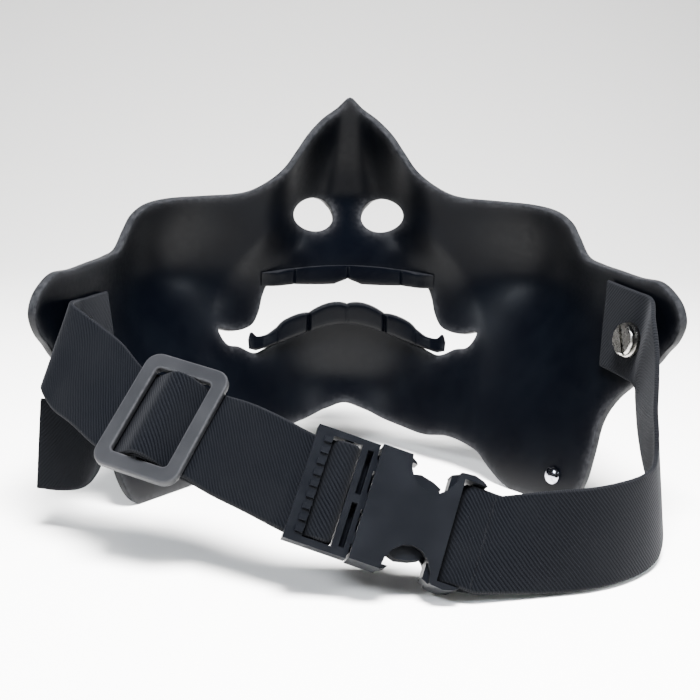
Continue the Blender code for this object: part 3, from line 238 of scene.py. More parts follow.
def wall_face(arc, height):
    """The base moved out by the relief along the base's own level normal."""
    small = 0.0001
    along = wall_base(arc + small, height) - wall_base(arc - small, height)
    out = np.stack([-along[..., 1], along[..., 0], 0.0 * along[..., 0]], axis=-1)
    out /= np.linalg.norm(out, axis=-1, keepdims=True)
    return wall_base(arc, height) + out * relief(arc, height)[..., None]


def wall_normal(arc, height):
    """The cross product of the face's two directions, turned level below 10 mm, so that the tips
    stand flat."""
    small = 0.0006
    across = wall_face(arc + small, height) - wall_face(arc - small, height)
    upward = wall_face(arc, height + small) - wall_face(arc, height - small)
    normal = np.cross(upward, across)
    normal[..., 2] *= ease(height / 0.010)
    return normal / np.linalg.norm(normal, axis=-1, keepdims=True)


def wall_point(arc, height, out=0.0):
    """A point at a distance out from the inner face; less than zero is on the hollow side."""
    arc, height, out = np.broadcast_arrays(np.asarray(arc, float), np.asarray(height, float), out)
    return wall_face(arc, height) + wall_normal(arc, height) * out[..., None] + LIPS_PLACE


# Right half of the outline, from the nose bridge to the chin, and of the mouth, from the notch over the
# teeth round to the middle below: shares of the lengths above
outline_half = (
    (0.027, 0.965), (0.058, 0.936), (0.090, 0.898), (0.119, 0.851), (0.152, 0.803), (0.201, 0.768),
    (0.261, 0.741), (0.349, 0.733), (0.441, 0.729), (0.505, 0.718), (0.549, 0.692), (0.572, 0.658),
    (0.606, 0.614), (0.671, 0.605), (0.754, 0.602), (0.833, 0.598), (0.907, 0.600), (0.960, 0.577),
    (0.990, 0.548), (1.000, 0.512), (0.981, 0.470), (0.948, 0.436), (0.917, 0.402), (0.855, 0.348),
    (0.795, 0.294), (0.760, 0.235), (0.748, 0.155), (0.736, 0.085), (0.712, 0.028), (0.680, 0.000),
    (0.640, 0.000), (0.600, 0.000), (0.560, 0.000), (0.524, 0.000), (0.480, 0.020), (0.440, 0.048),
    (0.408, 0.072), (0.350, 0.086), (0.295, 0.088), (0.230, 0.075), (0.168, 0.077), (0.100, 0.090),
    (0.045, 0.116),
)
mouth_half = (
    (0.14, 1.018), (0.32, 1.015), (0.50, 1.005), (0.585, 0.965), (0.625, 0.895), (0.650, 0.810),
    (0.700, 0.742), (0.790, 0.718), (0.890, 0.722), (1.000, 0.742), (0.985, 0.690), (0.935, 0.650),
    (0.840, 0.632), (0.700, 0.585), (0.560, 0.610), (0.360, 0.680), (0.170, 0.738),
)


def smooth_loop(points, step):
    """A closed Catmull-Rom curve through the points, read at equal steps."""
    points = np.asarray(points, float)
    before, after, beyond = (np.roll(points, shift, axis=0) for shift in (1, -1, -2))
    t = np.linspace(0.0, 1.0, 24, endpoint=False)[:, None, None]
    curve = 0.5 * (2.0 * points + (after - before) * t
                   + (2.0 * before - 5.0 * points + 4.0 * after - beyond) * t ** 2
                   + (3.0 * points - before - 3.0 * after + beyond) * t ** 3)
    curve = curve.transpose(1, 0, 2).reshape(-1, 2)
    closed = np.vstack([curve, curve[:1]])
    length = np.concatenate([[0.0], np.cumsum(np.linalg.norm(np.diff(closed, axis=0), axis=1))])
    at = np.linspace(0.0, length[-1], max(8, round(length[-1] / step)), endpoint=False)
    return np.stack([np.interp(at, length, closed[:, 0]), np.interp(at, length, closed[:, 1])], axis=1)


def mirrored_loop(half, first, last, width, height):
    """The half's shares as lengths, its mirror image run backwards, and a middle point before each."""
    right = [(a * width, h * height) for a, h in half]
    left = [(-a, h) for a, h in reversed(right)]
    return [(0.0, first * height)] + right + [(0.0, last * height)] + left


def inside_loop(points, loop):
    """True where a level ray from the point crosses the loop an odd number of times."""
    x, y = points[:, 0][:, None], points[:, 1][:, None]
    x0, y0 = loop[:, 0][None], loop[:, 1][None]
    x1, y1 = np.roll(loop[:, 0], -1)[None], np.roll(loop[:, 1], -1)[None]
    rise = np.where(y1 == y0, 1.0, y1 - y0)
    return (((y0 > y) != (y1 > y)) & (x < x0 + (y - y0) * (x1 - x0) / rise)).sum(axis=1) % 2 == 1


def into_material(loop):
    """The loop's unit normals in arc and height, pointing to the side that has material."""
    along = np.roll(loop, -1, axis=0) - np.roll(loop, 1, axis=0)
    normal = np.stack([-along[:, 1], along[:, 0]], axis=1)
    return normal / np.linalg.norm(normal, axis=1, keepdims=True)


def turned_loop(loop, inner):
    """The loop run anticlockwise for the outline and clockwise for a hole, by the sign of its area."""
    area = np.sum(loop[:, 0] * np.roll(loop[:, 1], -1) - np.roll(loop[:, 0], -1) * loop[:, 1])
    return loop[::-1] if (area < 0.0) != inner else loop


def nostril_loop(side):
    """An ellipse whose height also rises by a tenth of its arc, so that it slants."""
    turn = np.linspace(0.0, 2.0 * math.pi, 44, endpoint=False)
    arc = NOSTRIL_ARC + NOSTRIL_HALF_WIDTH * np.cos(turn)
    height = NOSTRIL_HEIGHT + NOSTRIL_HALF_HEIGHT * np.sin(turn) + 0.10 * (arc - NOSTRIL_ARC)
    return np.stack([side * arc, height], axis=1)


outline = smooth_loop(mirrored_loop(outline_half, 1.0, 0.133, HALF_ARC, HEIGHT), RIM_STEP)
outline[:, 1] = np.maximum(outline[:, 1], 0.0)
mouth = smooth_loop(mirrored_loop(mouth_half, 1.020, 0.760, MOUTH_HALF_ARC, MOUTH_TOP), 0.8 * RIM_STEP)
shell_loops = [turned_loop(outline, False)]
shell_loops += [turned_loop(loop, True) for loop in (mouth, nostril_loop(1.0), nostril_loop(-1.0))]
inset_loops = [loop + RIM_ROUND * into_material(loop) for loop in shell_loops]

grid_rows = np.arange(0.0, HEIGHT, SHELL_STEP * 0.87)
grid_arcs = np.arange(-HALF_ARC, HALF_ARC, SHELL_STEP)
stagger = SHELL_STEP * 0.5 * (np.arange(len(grid_rows)) % 2)[:, None]
net = np.stack(np.broadcast_arrays(grid_arcs[None] + stagger, grid_rows[:, None]), axis=-1).reshape(-1, 2)
rim_points = np.vstack(inset_loops)


def has_material(places):
    """True inside the outline and outside the mouth and both nostrils."""
    inside = inside_loop(places, inset_loops[0])
    for loop in inset_loops[1:]:
        inside &= ~inside_loop(places, loop)
    return inside


def rim_distance(places):
    """The distance from each place to the nearest point of a rim, a twelfth of the places at a time."""
    return np.concatenate([np.sqrt(((part[:, None] - rim_points[None]) ** 2).sum(axis=2)).min(axis=1)
                           for part in np.array_split(places, 12)])


net = net[has_material(net)]
net = net[rim_distance(net) > 0.55 * SHELL_STEP]
rim_edges = []
for loop in inset_loops:
    start = len(rim_edges)
    rim_edges += [(start + k, start + (k + 1) % len(loop)) for k in range(len(loop))]
flat, _, triangles, _, _, _ = delaunay_2d_cdt([Vector(p) for p in np.vstack([rim_points, net])],
                                              rim_edges, [], 0, 1e-8)
flat = np.array([tuple(p) for p in flat])
triangles = np.array([tuple(t) for t in triangles])
triangles = triangles[has_material(flat[triangles].mean(axis=1))]

# The rim is a profile of two quarter circles and a flat, carried round each loop: its inset, and its
# depth through the wall
quarter = np.radians((0.0, 22.5, 45.0, 67.5, 90.0))
rim_inset = RIM_ROUND * np.concatenate([1.0 - np.sin(quarter), 1.0 - np.sin(quarter[::-1])])
rim_depth = np.concatenate([RIM_ROUND * (1.0 - np.cos(quarter)),
                            WALL - RIM_ROUND * (1.0 - np.cos(quarter[::-1]))])
count = len(flat)
shell_points = [wall_point(flat[:, 0], flat[:, 1], 0.0), wall_point(flat[:, 0], flat[:, 1], WALL)]
shell_faces = triangles[:, ::-1].tolist() + (triangles + count).tolist()
rim_rows = len(rim_inset)
first = 2 * count
start = 0
for loop in shell_loops:
    normal = into_material(loop)
    middle_rows = loop[None] + normal[None] * rim_inset[1:-1, None, None]
    depth = np.broadcast_to(rim_depth[1:-1, None], middle_rows.shape[:2])
    rim = wall_point(middle_rows[..., 0], np.maximum(middle_rows[..., 1], 0.0), depth)
    shell_points.append(rim.reshape(-1, 3))
    number = np.vstack([start + np.arange(len(loop))[None],
                        first + np.arange((rim_rows - 2) * len(loop)).reshape(rim_rows - 2, len(loop)),
                        count + start + np.arange(len(loop))[None]])
    beside = np.roll(number, -1, axis=1)
    quads = np.stack([number[:-1], beside[:-1], beside[1:], number[1:]], axis=-1)
    shell_faces += quads.reshape(-1, 4).tolist()
    first += (rim_rows - 2) * len(loop)
    start += len(loop)
shell_points = np.vstack(shell_points)
shell = put_mesh("shell_moulded", shell_points, shell_faces, 55.0)


def put_pale_edges(piece, name, values):
    """A value for each vertex, which the piece's material reads for its paler edges: rubbed, and on the shell
    and teeth also a painted highlight.
    """
    attribute = piece.data.attributes.new(name, "FLOAT", "POINT")
    attribute.data.foreach_set("value", np.ascontiguousarray(values, np.float32).ravel())


# Scuffing and a painted highlight are whole on the rim and fall off as exp(-d) into both faces
WEAR_AND_HIGHLIGHT_REACH = 0.0009
face_wear_and_highlight = np.exp(-rim_distance(flat) / WEAR_AND_HIGHLIGHT_REACH)
put_pale_edges(shell, "rim_wear_and_highlight", np.concatenate([face_wear_and_highlight, face_wear_and_highlight, np.ones(len(shell_points) - 2 * count)]))


def noise_node(tree, scale, detail, rough=0.5, vector=None):
    node = tree.nodes.new("ShaderNodeTexNoise")
    node.inputs["Scale"].default_value = scale
    node.inputs["Detail"].default_value = detail
    node.inputs["Roughness"].default_value = rough
    if vector is None:
        coordinates = tree.nodes.new("ShaderNodeTexCoord")
        vector = coordinates.outputs["Object"]
    tree.links.new(vector, node.inputs["Vector"])
    return node.outputs["Fac"]


def range_node(tree, value, low, high, out_low, out_high):
    """Maps low..high of a value to out_low..out_high, in a straight line."""
    node = tree.nodes.new("ShaderNodeMapRange")
    for name, number in (("From Min", low), ("From Max", high), ("To Min", out_low), ("To Max", out_high)):
        node.inputs[name].default_value = number
    tree.links.new(value, node.inputs["Value"])
    return node.outputs["Result"]


def math_node(tree, operation, a, b=0.0):
    node = tree.nodes.new("ShaderNodeMath")
    node.operation = operation
    for value, socket in ((a, node.inputs[0]), (b, node.inputs[1])):
        if isinstance(value, (int, float)):
            socket.default_value = value
        else:
            tree.links.new(value, socket)
    return node.outputs[0]


def mix_colour(tree, share, dark, light):
    node = tree.nodes.new("ShaderNodeMix")
    node.data_type = "RGBA"
    tree.links.new(share, node.inputs[0])
    for value, socket in ((dark, node.inputs[6]), (light, node.inputs[7])):
        if isinstance(value, tuple):
            socket.default_value = (*value, 1.0)
        else:
            tree.links.new(value, socket)
    return node.outputs[2]


def blend_tone(tree, value, low, high, dark, light):
    """From the dark to the light tone as the value goes from low to high."""
    return mix_colour(tree, range_node(tree, value, low, high, 0.0, 1.0), dark, light)


def bump_node(tree, shader, layers):
    """Bumps one upon another: each layer is a height, its strength and its depth in metres."""
    normal = None
    for height, strength, depth in layers:
        node = tree.nodes.new("ShaderNodeBump")
        node.inputs["Strength"].default_value = strength
        node.inputs["Distance"].default_value = depth
        tree.links.new(height, node.inputs["Height"])
        if normal is not None:
            tree.links.new(normal, node.inputs["Normal"])
        normal = node.outputs["Normal"]
    tree.links.new(normal, shader.inputs["Normal"])


def moulded_plastic(name, dark, light, smooth, rough, shine, pale_edge=None, edge=None):
    """Satin moulded plastic: a cloudy tone, fine orange peel and slow waves from the mould, and a paler
    tone where the named edge value is high: rubbed edges, and on the shell also a painted highlight."""
    material, tree, shader = new_material(name, dark, smooth)
    clouds = noise_node(tree, 95.0, 4.0, 0.6)
    peel = noise_node(tree, 2600.0, 2.0)
    waves = noise_node(tree, 42.0, 2.0)
    scuffs = noise_node(tree, 700.0, 5.0, 0.7)
    tone = blend_tone(tree, clouds, 0.35, 0.68, dark, light)
    matt = range_node(tree, scuffs, 0.30, 0.72, smooth, rough)
    if pale_edge:
        pale_share = tree.nodes.new("ShaderNodeAttribute")
        pale_share.attribute_name = pale_edge
        patches = range_node(tree, scuffs, 0.38, 0.62, 0.35, 1.0)
        patchy = math_node(tree, "MULTIPLY", pale_share.outputs["Fac"], patches)
        tone = mix_colour(tree, patchy, tone, edge)
        matt = math_node(tree, "ADD", matt, math_node(tree, "MULTIPLY", patchy, 0.06))
    tree.links.new(tone, shader.inputs["Base Color"])
    tree.links.new(matt, shader.inputs["Roughness"])
    shader.inputs["Specular IOR Level"].default_value = shine
    bump_node(tree, shader, [(waves, 0.35, 0.0006), (peel, 0.10, 0.00006)])
    return material


# The shell's paler edge tone stands for rubbed edges and also paints a highlight along the rim
shell_plastic = moulded_plastic("satin_black_plastic", (0.0002, 0.0003, 0.0007), (0.0005, 0.0007, 0.0012),
                                0.34, 0.50, 0.06, "rim_wear_and_highlight", (0.0105, 0.0108, 0.0120))
shell.data.materials.append(shell_plastic)
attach(shell, "root")
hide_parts("mask_shell")


# Teeth
# Two rows moulded as strips behind the lips. The upper one shows flat backs under a crisp line, the
# lower one is arched, with scalloped crowns, a groove at each joint and a small fang at each end.
LIP_GAP, TOOTH_WALL = 0.00035, 0.0026
upper_joints = np.array([-0.64, -0.40, 0.0, 0.40, 0.64]) * MOUTH_HALF_ARC
lower_joints = np.array([-0.76, -0.51, -0.28, 0.0, 0.28, 0.51, 0.76]) * MOUTH_HALF_ARC
# Round a tooth's section, from its root up the hollow side and down the lip side: shares of rise and depth
tooth_section = np.array([
    (0.00, 0.62), (0.03, 0.84), (0.09, 0.96), (0.18, 1.00), (0.34, 1.00), (0.50, 1.00), (0.66, 1.00),
    (0.82, 1.00), (0.91, 0.96), (0.97, 0.84), (1.00, 0.62), (1.00, 0.30), (1.00, 0.00), (0.50, 0.00),
    (0.00, 0.00), (0.00, 0.30),
])


def tooth_strip(name, arcs, low, high, depth):
    """The section above carried along the arc: rise goes from low to high, depth stands in from the lips."""
    rise, share = tooth_section[:, 0][None], tooth_section[:, 1][None]
    height = low[:, None] + (high - low)[:, None] * rise
    out = -(LIP_GAP + depth[:, None] * share)
    points = wall_point(np.broadcast_to(arcs[:, None], height.shape), height, out)
    sides = len(tooth_section)
    faces = grid_faces(len(arcs), sides, round_columns=True)
    faces += [list(range(sides))[::-1], [(len(arcs) - 1) * sides + k for k in range(sides)]]
    strip = put_mesh(name, points, faces, 50.0)
    on_edge = ((rise < 0.05) | (rise > 0.95)) & (share > 0.2)
    # The paler crown and root edges are rubbed edges and partly a painted highlight
    put_pale_edges(strip, "rim_wear_and_highlight", np.broadcast_to(0.45 * on_edge, height.shape))
    strip.data.materials.append(shell_plastic)
    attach(strip, "root")
    return strip


def tooth_phase(arcs, joints):
    """Where each arc lies in its tooth, from 0 at one joint to 1 at the next, and its distance to the
    nearest joint."""
    which = np.clip(np.searchsorted(joints, arcs, side="right") - 1, 0, len(joints) - 2)
    phase = (arcs - joints[which]) / (joints[which + 1] - joints[which])
    return np.clip(phase, 0.0, 1.0), np.abs(arcs[:, None] - joints[None]).min(axis=1)


# Upper row: its lower edge has a notch in the middle and bows down to the sides with a slight crown on
# each tooth, and its side teeth stand a tenth less deep
UPPER_RISE, UPPER_NOTCH, UPPER_NOTCH_HALF = 0.0038, 0.0014, 0.0043
UPPER_LOW_BOW, UPPER_HIGH_BOW, UPPER_CROWN = 0.0012, 0.0018, 0.0003
upper_arcs = np.linspace(upper_joints[0], upper_joints[-1], 221)
upper_phase, upper_off = tooth_phase(upper_arcs, upper_joints)
upper_bow = (upper_arcs / upper_joints[-1]) ** 2
upper_low = MOUTH_TOP - UPPER_NOTCH * np.minimum(1.0, np.abs(upper_arcs) / UPPER_NOTCH_HALF)
upper_low = upper_low - UPPER_LOW_BOW * upper_bow - UPPER_CROWN * np.sin(math.pi * upper_phase)
upper_high = MOUTH_TOP + UPPER_RISE - UPPER_HIGH_BOW * upper_bow
upper_groove = 0.20 * np.exp(-(upper_off / 0.00028) ** 2)
upper_end = ease((1.0 - np.abs(upper_arcs) / upper_joints[-1]) / 0.22)
upper_step = 0.10 * ease((np.abs(upper_arcs) - 0.0169) / 0.0005)
upper_depth = TOOTH_WALL * (1.0 - upper_groove) * (0.12 + 0.88 * upper_end) * (1.0 - upper_step)
upper_teeth = tooth_strip("upper_teeth_fine", upper_arcs, upper_low, upper_high, upper_depth)
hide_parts("upper_teeth")

# Lower row: an arch that drops to both sides, with a crown on each tooth but the last, a fang near each
# end, and grooves that are deepest beside the two middle teeth
LOWER_TOP, LOWER_RISE, LOWER_ARCH, LOWER_CROWN, FANG_RISE = 0.0485, 0.0063, 0.0085, 0.0011, 0.0016
lower_arcs = np.linspace(lower_joints[0], lower_joints[-1], 301)
lower_phase, lower_off = tooth_phase(lower_arcs, lower_joints)
lower_side = np.abs(lower_arcs) / lower_joints[-1]
lower_crown = LOWER_CROWN * np.sin(math.pi * lower_phase) ** 0.7 * (lower_side < 0.67)
fang = FANG_RISE * np.exp(-((lower_side - 0.960) / 0.030) ** 2)
lower_high = LOWER_TOP - LOWER_ARCH * ease(lower_side / 0.90) + lower_crown + fang
lower_high = lower_high - 0.0020 * ease((lower_side - 0.60) / 0.2)
lower_high = lower_high - 0.0008 * ease((lower_side - 0.975) / 0.025)
lower_low = LOWER_TOP - LOWER_RISE - LOWER_ARCH * ease(lower_side / 0.95)
lower_low = lower_low + 0.0008 * ease((lower_side - 0.90) / 0.10)
lower_groove = np.interp(np.abs(lower_arcs), (0.0050, 0.0051, 0.0160, 0.0161), (0.10, 0.44, 0.44, 0.14))
lower_end = ease((1.0 - lower_side) / 0.16)
lower_depth = TOOTH_WALL * (1.0 - lower_groove * np.exp(-(lower_off / 0.00050) ** 2))
lower_depth = lower_depth * (0.22 + 0.78 * lower_end)
lower_teeth = tooth_strip("lower_teeth_fine", lower_arcs, lower_low, lower_high, lower_depth)
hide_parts("lower_teeth")


# Strap
# One band of black woven elastic, 25 mm wide and 1.4 mm thick, cut in two by the buckle. Each part is
# screwed to a cheek; the right one is sewn round the sleeve's bar, the left one runs through the slider.
STRAP_WIDTH, STRAP_THICK, STRAP_GAP = 0.025, 0.0014, 0.00035
LAYER = STRAP_THICK + STRAP_GAP
SCREW_ARC, SCREW_HEIGHT, SCREW_HEAD_RADIUS = 0.1118, 0.0510, 0.0046
STRAP_STEPS = 14


def fitting_frame(place, along, across):
    """A fitting's axes as a matrix: u along the strap, v towards the hollow side, w down the strap."""
    u = Vector(along).normalized()
    w = -Vector(across)
    w = (w - u * w.dot(u)).normalized()
    v = w.cross(u)
    spot = Vector(place) + Vector(LIPS_PLACE)
    return Matrix(((u.x, v.x, w.x, spot.x), (u.y, v.y, w.y, spot.y), (u.z, v.z, w.z, spot.z), (0, 0, 0, 1)))


buckle_frame = fitting_frame((-0.0008, -0.1234, 0.0219), (0.947, -0.058, -0.315), (0.301, 0.497, 0.814))
slider_frame = fitting_frame((-0.0506, -0.1033, 0.0371), (0.899, -0.405, -0.170), (0.405, 0.618, 0.674))
SLEEVE_LENGTH, SLEEVE_LEAD, FRAME_LENGTH, FRAME_END = 0.0276, 0.004, 0.0162, 0.0046
GRIP_WIDTH, GRIP_BACK, BAR_WIDTH, BAR_THICK = 0.0043, -0.0001, 0.0022, 0.0020
SLIDER_LENGTH, SLIDER_SIDE, SLIDER_END, SLIDER_THICK = 0.0237, 0.0039, 0.0043, 0.0024
SLIDER_BAR, SLIDER_BAR_TOP = 0.0028, -0.0002


def spline(points, steps):
    """An open curve through the points: Catmull-Rom with its tangents weighted by the root of each chord."""
    points = np.asarray(points, float)
    ends = np.vstack([2.0 * points[0] - points[1], points, 2.0 * points[-1] - points[-2]])
    p0, p1, p2, p3 = ends[:-3], ends[1:-2], ends[2:-1], ends[3:]
    d0, d1, d2 = (np.sqrt(np.maximum(np.linalg.norm(b - a, axis=1, keepdims=True), 1e-6))
                  for a, b in ((p0, p1), (p1, p2), (p2, p3)))
    m1 = ((p1 - p0) / d0 - (p2 - p0) / (d0 + d1) + (p2 - p1) / d1) * d1
    m2 = ((p2 - p1) / d1 - (p3 - p1) / (d1 + d2) + (p3 - p2) / d2) * d1
    t = np.linspace(0.0, 1.0, steps, endpoint=False)[:, None, None]
    spans = ((2 * t ** 3 - 3 * t ** 2 + 1) * p1 + (t ** 3 - 2 * t ** 2 + t) * m1
             + (-2 * t ** 3 + 3 * t ** 2) * p2 + (t ** 3 - t ** 2) * m2)
    return np.vstack([spans.transpose(1, 0, 2).reshape(-1, 3), points[-1:]])


def on_fitting(axes, u, v):
    """Both edges of the strap, top then bottom, at a place along a fitting."""
    return np.array([axes @ Vector((u, v, -STRAP_WIDTH / 2.0)), axes @ Vector((u, v, STRAP_WIDTH / 2.0))])


def in_the_air(x, y, z, lean_x, lean_y, lean_z):
    """Both edges of the strap at a free place: its middle, plus and minus half its width along the lean."""
    middle = np.array([x, y, z]) + LIPS_PLACE
    lean = np.array([lean_x, lean_y, lean_z])
    lean *= STRAP_WIDTH / 2.0 / np.linalg.norm(lean)
    return np.array([middle + lean, middle - lean])


def on_wall(side, top_arc, bottom_arc, middle, out):
    """Both edges of the strap on the wall, each at its own arc, at its true width."""
    half = math.sqrt((STRAP_WIDTH / 2.0) ** 2 - ((top_arc - bottom_arc) / 2.0) ** 2)
    top = wall_point(side * top_arc, middle + half, out)
    bottom = wall_point(side * bottom_arc, middle - half, out)
    lean = (top - bottom) / np.linalg.norm(top - bottom) * STRAP_WIDTH / 2.0
    return np.array([(top + bottom) / 2.0 + lean, (top + bottom) / 2.0 - lean])


def through(stations, steps):
    """Both edges as curves through the stations: rows of points, each with its top and its bottom."""
    stations = np.asarray(stations, float)
    return np.stack([spline(stations[:, 0], steps), spline(stations[:, 1], steps)], axis=1)


def second_layer(edges, away):
    """The strap's way back behind its first layer: the same curve from its end, one layer off."""
    normal = np.cross(edges[:, 1] - edges[:, 0], np.gradient(edges.mean(axis=1), axis=0))
    normal /= np.linalg.norm(normal, axis=1, keepdims=True)
    return (edges + away * LAYER * normal[:, None])[::-1]


def strap_band(name, edges, sign):
    """A band: straight lines across between both edge curves, moved to both sides along each line's own
    normal by half the thickness, which falls to nothing at the edges as a quarter ellipse. Its UV map
    is in metres, across and along."""
    share = np.concatenate([[0.0, 0.004, 0.014, 0.030, 0.055], np.linspace(0.10, 0.90, 9),
                            [0.945, 0.970, 0.986, 0.996, 1.0]])
    lines = edges[:, 1:] + (edges[:, :1] - edges[:, 1:]) * share[None, :, None]
    across = np.broadcast_to(edges[:, :1] - edges[:, 1:], lines.shape)
    normal = np.cross(np.gradient(lines, axis=0), across)
    normal /= np.linalg.norm(normal, axis=2, keepdims=True)
    edge = np.clip(np.minimum(share, 1.0 - share) / 0.030, 0.0, 1.0)
    half = STRAP_THICK / 2.0 * np.sqrt(1.0 - (1.0 - edge) ** 2) * (1.0 - 0.06 * np.cos(share * 2.0 * math.pi))
    front = lines + normal * half[None, :, None]
    back = (lines - normal * half[None, :, None])[:, -2:0:-1]
    rings = np.concatenate([front, back], axis=1)
    rows, sides = rings.shape[:2]
    faces = grid_faces(rows, sides, round_columns=True)
    faces += [list(range(sides))[::-1], [(rows - 1) * sides + k for k in range(sides)]]
    band = put_mesh(name, rings, faces, 60.0)
    middle = edges.mean(axis=1)
    run = np.concatenate([[0.0], np.cumsum(np.linalg.norm(np.diff(middle, axis=0), axis=1))])
    place_across = np.concatenate([share, share[-2:0:-1]]) * STRAP_WIDTH * sign
    place = np.stack(np.broadcast_arrays(place_across[None], run[:, None]), axis=-1)
    corners = np.zeros(len(band.data.loops), np.int32)
    band.data.loops.foreach_get("vertex_index", corners)
    layer = band.data.uv_layers.new(name="weave")
    layer.data.foreach_set("uv", place.reshape(-1, 2)[corners].astype(np.float32).ravel())
    return band


TAB_OUT = -(STRAP_GAP + STRAP_THICK / 2.0)


# Each screwed end on its wall, from its cut edge to where it leaves: arcs of its top and bottom edge as
# shares of the screw's arc, and the height of its middle as a share of the screw's height
right_tab = ((0.864, 0.871, 1.045), (0.953, 0.946, 1.031), (1.000, 0.972, 1.024), (1.052, 0.998, 1.014))
left_tab = ((0.826, 0.826, 0.931), (0.903, 0.921, 0.937), (0.948, 0.984, 0.941), (0.979, 1.029, 0.949))


def tab(side, rows):
    """The rows above as stations, one gap and half a thickness off the wall."""
    return [on_wall(side, top * SCREW_ARC, bottom * SCREW_ARC, middle * SCREW_HEIGHT, TAB_OUT)
            for top, bottom, middle in rows]


# Free places of the strap, from the middle of the lips: x, y, z, then the direction of its width
right_route = (
    (0.0780, -0.0762, 0.0492, 0.02, -0.45, 0.88), (0.0781, -0.0795, 0.0437, 0.00, -0.68, 0.73),
    (0.0776, -0.0845, 0.0360, -0.03, -0.68, 0.73), (0.0776, -0.0892, 0.0285, -0.09, -0.55, 0.83),
    (0.0784, -0.0940, 0.0222, -0.16, -0.35, 0.92), (0.0779, -0.0990, 0.0168, -0.16, -0.14, 0.98),
    (0.0755, -0.1055, 0.0142, -0.10, 0.02, 0.99), (0.0708, -0.1122, 0.0134, -0.04, 0.11, 0.99),
    (0.0632, -0.1188, 0.0133, 0.00, 0.17, 0.98), (0.0550, -0.1232, 0.0132, 0.02, 0.18, 0.98),
    (0.0461, -0.1256, 0.0132, 0.05, 0.20, 0.98),
)
left_route = (
    (-0.0804, -0.0782, 0.0500, 0.26, 0.50, 0.83), (-0.0746, -0.0849, 0.0460, 0.50, 0.33, 0.80),
    (-0.0685, -0.0909, 0.0430, 0.48, 0.44, 0.76),
)
middle_route = ((-0.0333, -0.1110, 0.0318, 0.40, 0.44, 0.80), (-0.0258, -0.1164, 0.0298, 0.35, 0.42, 0.84))
tail_route = (
    (-0.0650, -0.0908, 0.0308, 0.30, 0.36, 0.88), (-0.0708, -0.0872, 0.0262, 0.18, 0.14, 0.97),
    (-0.0780, -0.0842, 0.0243, 0.10, 0.04, 1.00), (-0.0851, -0.0820, 0.0241, 0.06, 0.00, 1.00),
)

# Right part: tab, free run, turned round the sleeve's bar through its slot, and sewn down behind
SEWN_LENGTH, TURN_LEAD, SLOT_SHARE = 0.014, 0.0014, 0.818
slot_middle = SLOT_SHARE * SLEEVE_LENGTH
bar_front = BAR_THICK / 2.0 + STRAP_GAP + STRAP_THICK / 2.0
run = through(tab(1.0, right_tab) + [in_the_air(*row) for row in right_route]
              + [on_fitting(buckle_frame, SLEEVE_LENGTH + SLEEVE_LEAD, bar_front)], STRAP_STEPS)
reach = np.cumsum(np.linalg.norm(np.diff(run.mean(axis=1)[::-1], axis=0), axis=1))
sewn_back = second_layer(run[-int(np.searchsorted(reach, SEWN_LENGTH)) - 1:], 1.0)[1:]
round_bar = [run[-2], run[-1]]
round_bar += [on_fitting(buckle_frame, slot_middle + TURN_LEAD, bar_front),
              on_fitting(buckle_frame, slot_middle, 0.0),
              on_fitting(buckle_frame, slot_middle + TURN_LEAD, -bar_front),
              on_fitting(buckle_frame, SLEEVE_LENGTH, -bar_front)]
round_bar += [sewn_back[0], sewn_back[1]]
turned = through(round_bar, STRAP_STEPS)[STRAP_STEPS:-STRAP_STEPS]
right_run = run
right_edges = np.vstack([right_run[:-1], turned[:-1], sewn_back])
strap_right = strap_band("strap_right_woven", right_edges, -1.0)

# Left part: tab, free run, under the slider and over its bar, round the prong half's bar, and back behind
under = -(SLIDER_THICK / 2.0 + STRAP_GAP + STRAP_THICK / 2.0)
over = SLIDER_BAR_TOP + STRAP_GAP + STRAP_THICK / 2.0
slider_half = SLIDER_LENGTH / 2.0
slider_inner = slider_half - SLIDER_SIDE - STRAP_GAP
under_grip = GRIP_BACK - STRAP_GAP - STRAP_THICK / 2.0
bar_place = -FRAME_END - (STRAP_THICK + 2.0 * STRAP_GAP) - BAR_WIDTH / 2.0
turn_radius = BAR_WIDTH / 2.0 + 1.9 * STRAP_GAP + STRAP_THICK / 2.0  # nearly against the bridge
first_run = tab(-1.0, left_tab) + [in_the_air(*row) for row in left_route]
behind_from = len(first_run)
first_run += [on_fitting(slider_frame, -slider_half, under), on_fitting(slider_frame, -slider_inner, under)]
first_run += [on_fitting(slider_frame, u * SLIDER_BAR, over + LAYER) for u in (-0.5, 0.5)]
first_run += [on_fitting(slider_frame, slider_inner, under), on_fitting(slider_frame, slider_half, under)]
first_run += [in_the_air(*row) for row in middle_route]
first_run += [on_fitting(buckle_frame, -FRAME_LENGTH, under_grip),
              on_fitting(buckle_frame, GRIP_WIDTH - FRAME_LENGTH, under_grip)]
run = through(first_run, STRAP_STEPS)
way_back = second_layer(run[behind_from * STRAP_STEPS:], -1.0)
round_bar = [run[-2], run[-1]]
round_bar += [on_fitting(buckle_frame, bar_place + turn_radius * math.sin(a), bar_front * math.cos(a))
              for a in np.radians((-50.0, 0.0, 45.0, 90.0, 135.0, 180.0))]
round_bar += [way_back[0], way_back[1]]
turned = through(round_bar, STRAP_STEPS)[STRAP_STEPS:-STRAP_STEPS]
tail_stations = [way_back[-2], way_back[-1]] + [in_the_air(*row) for row in tail_route]
tail = through(tail_stations, STRAP_STEPS)[STRAP_STEPS:]
left_edges = np.vstack([run[:-1], turned[:-1], way_back[:-1], tail])
strap_left = strap_band("strap_left_woven", left_edges, 1.0)

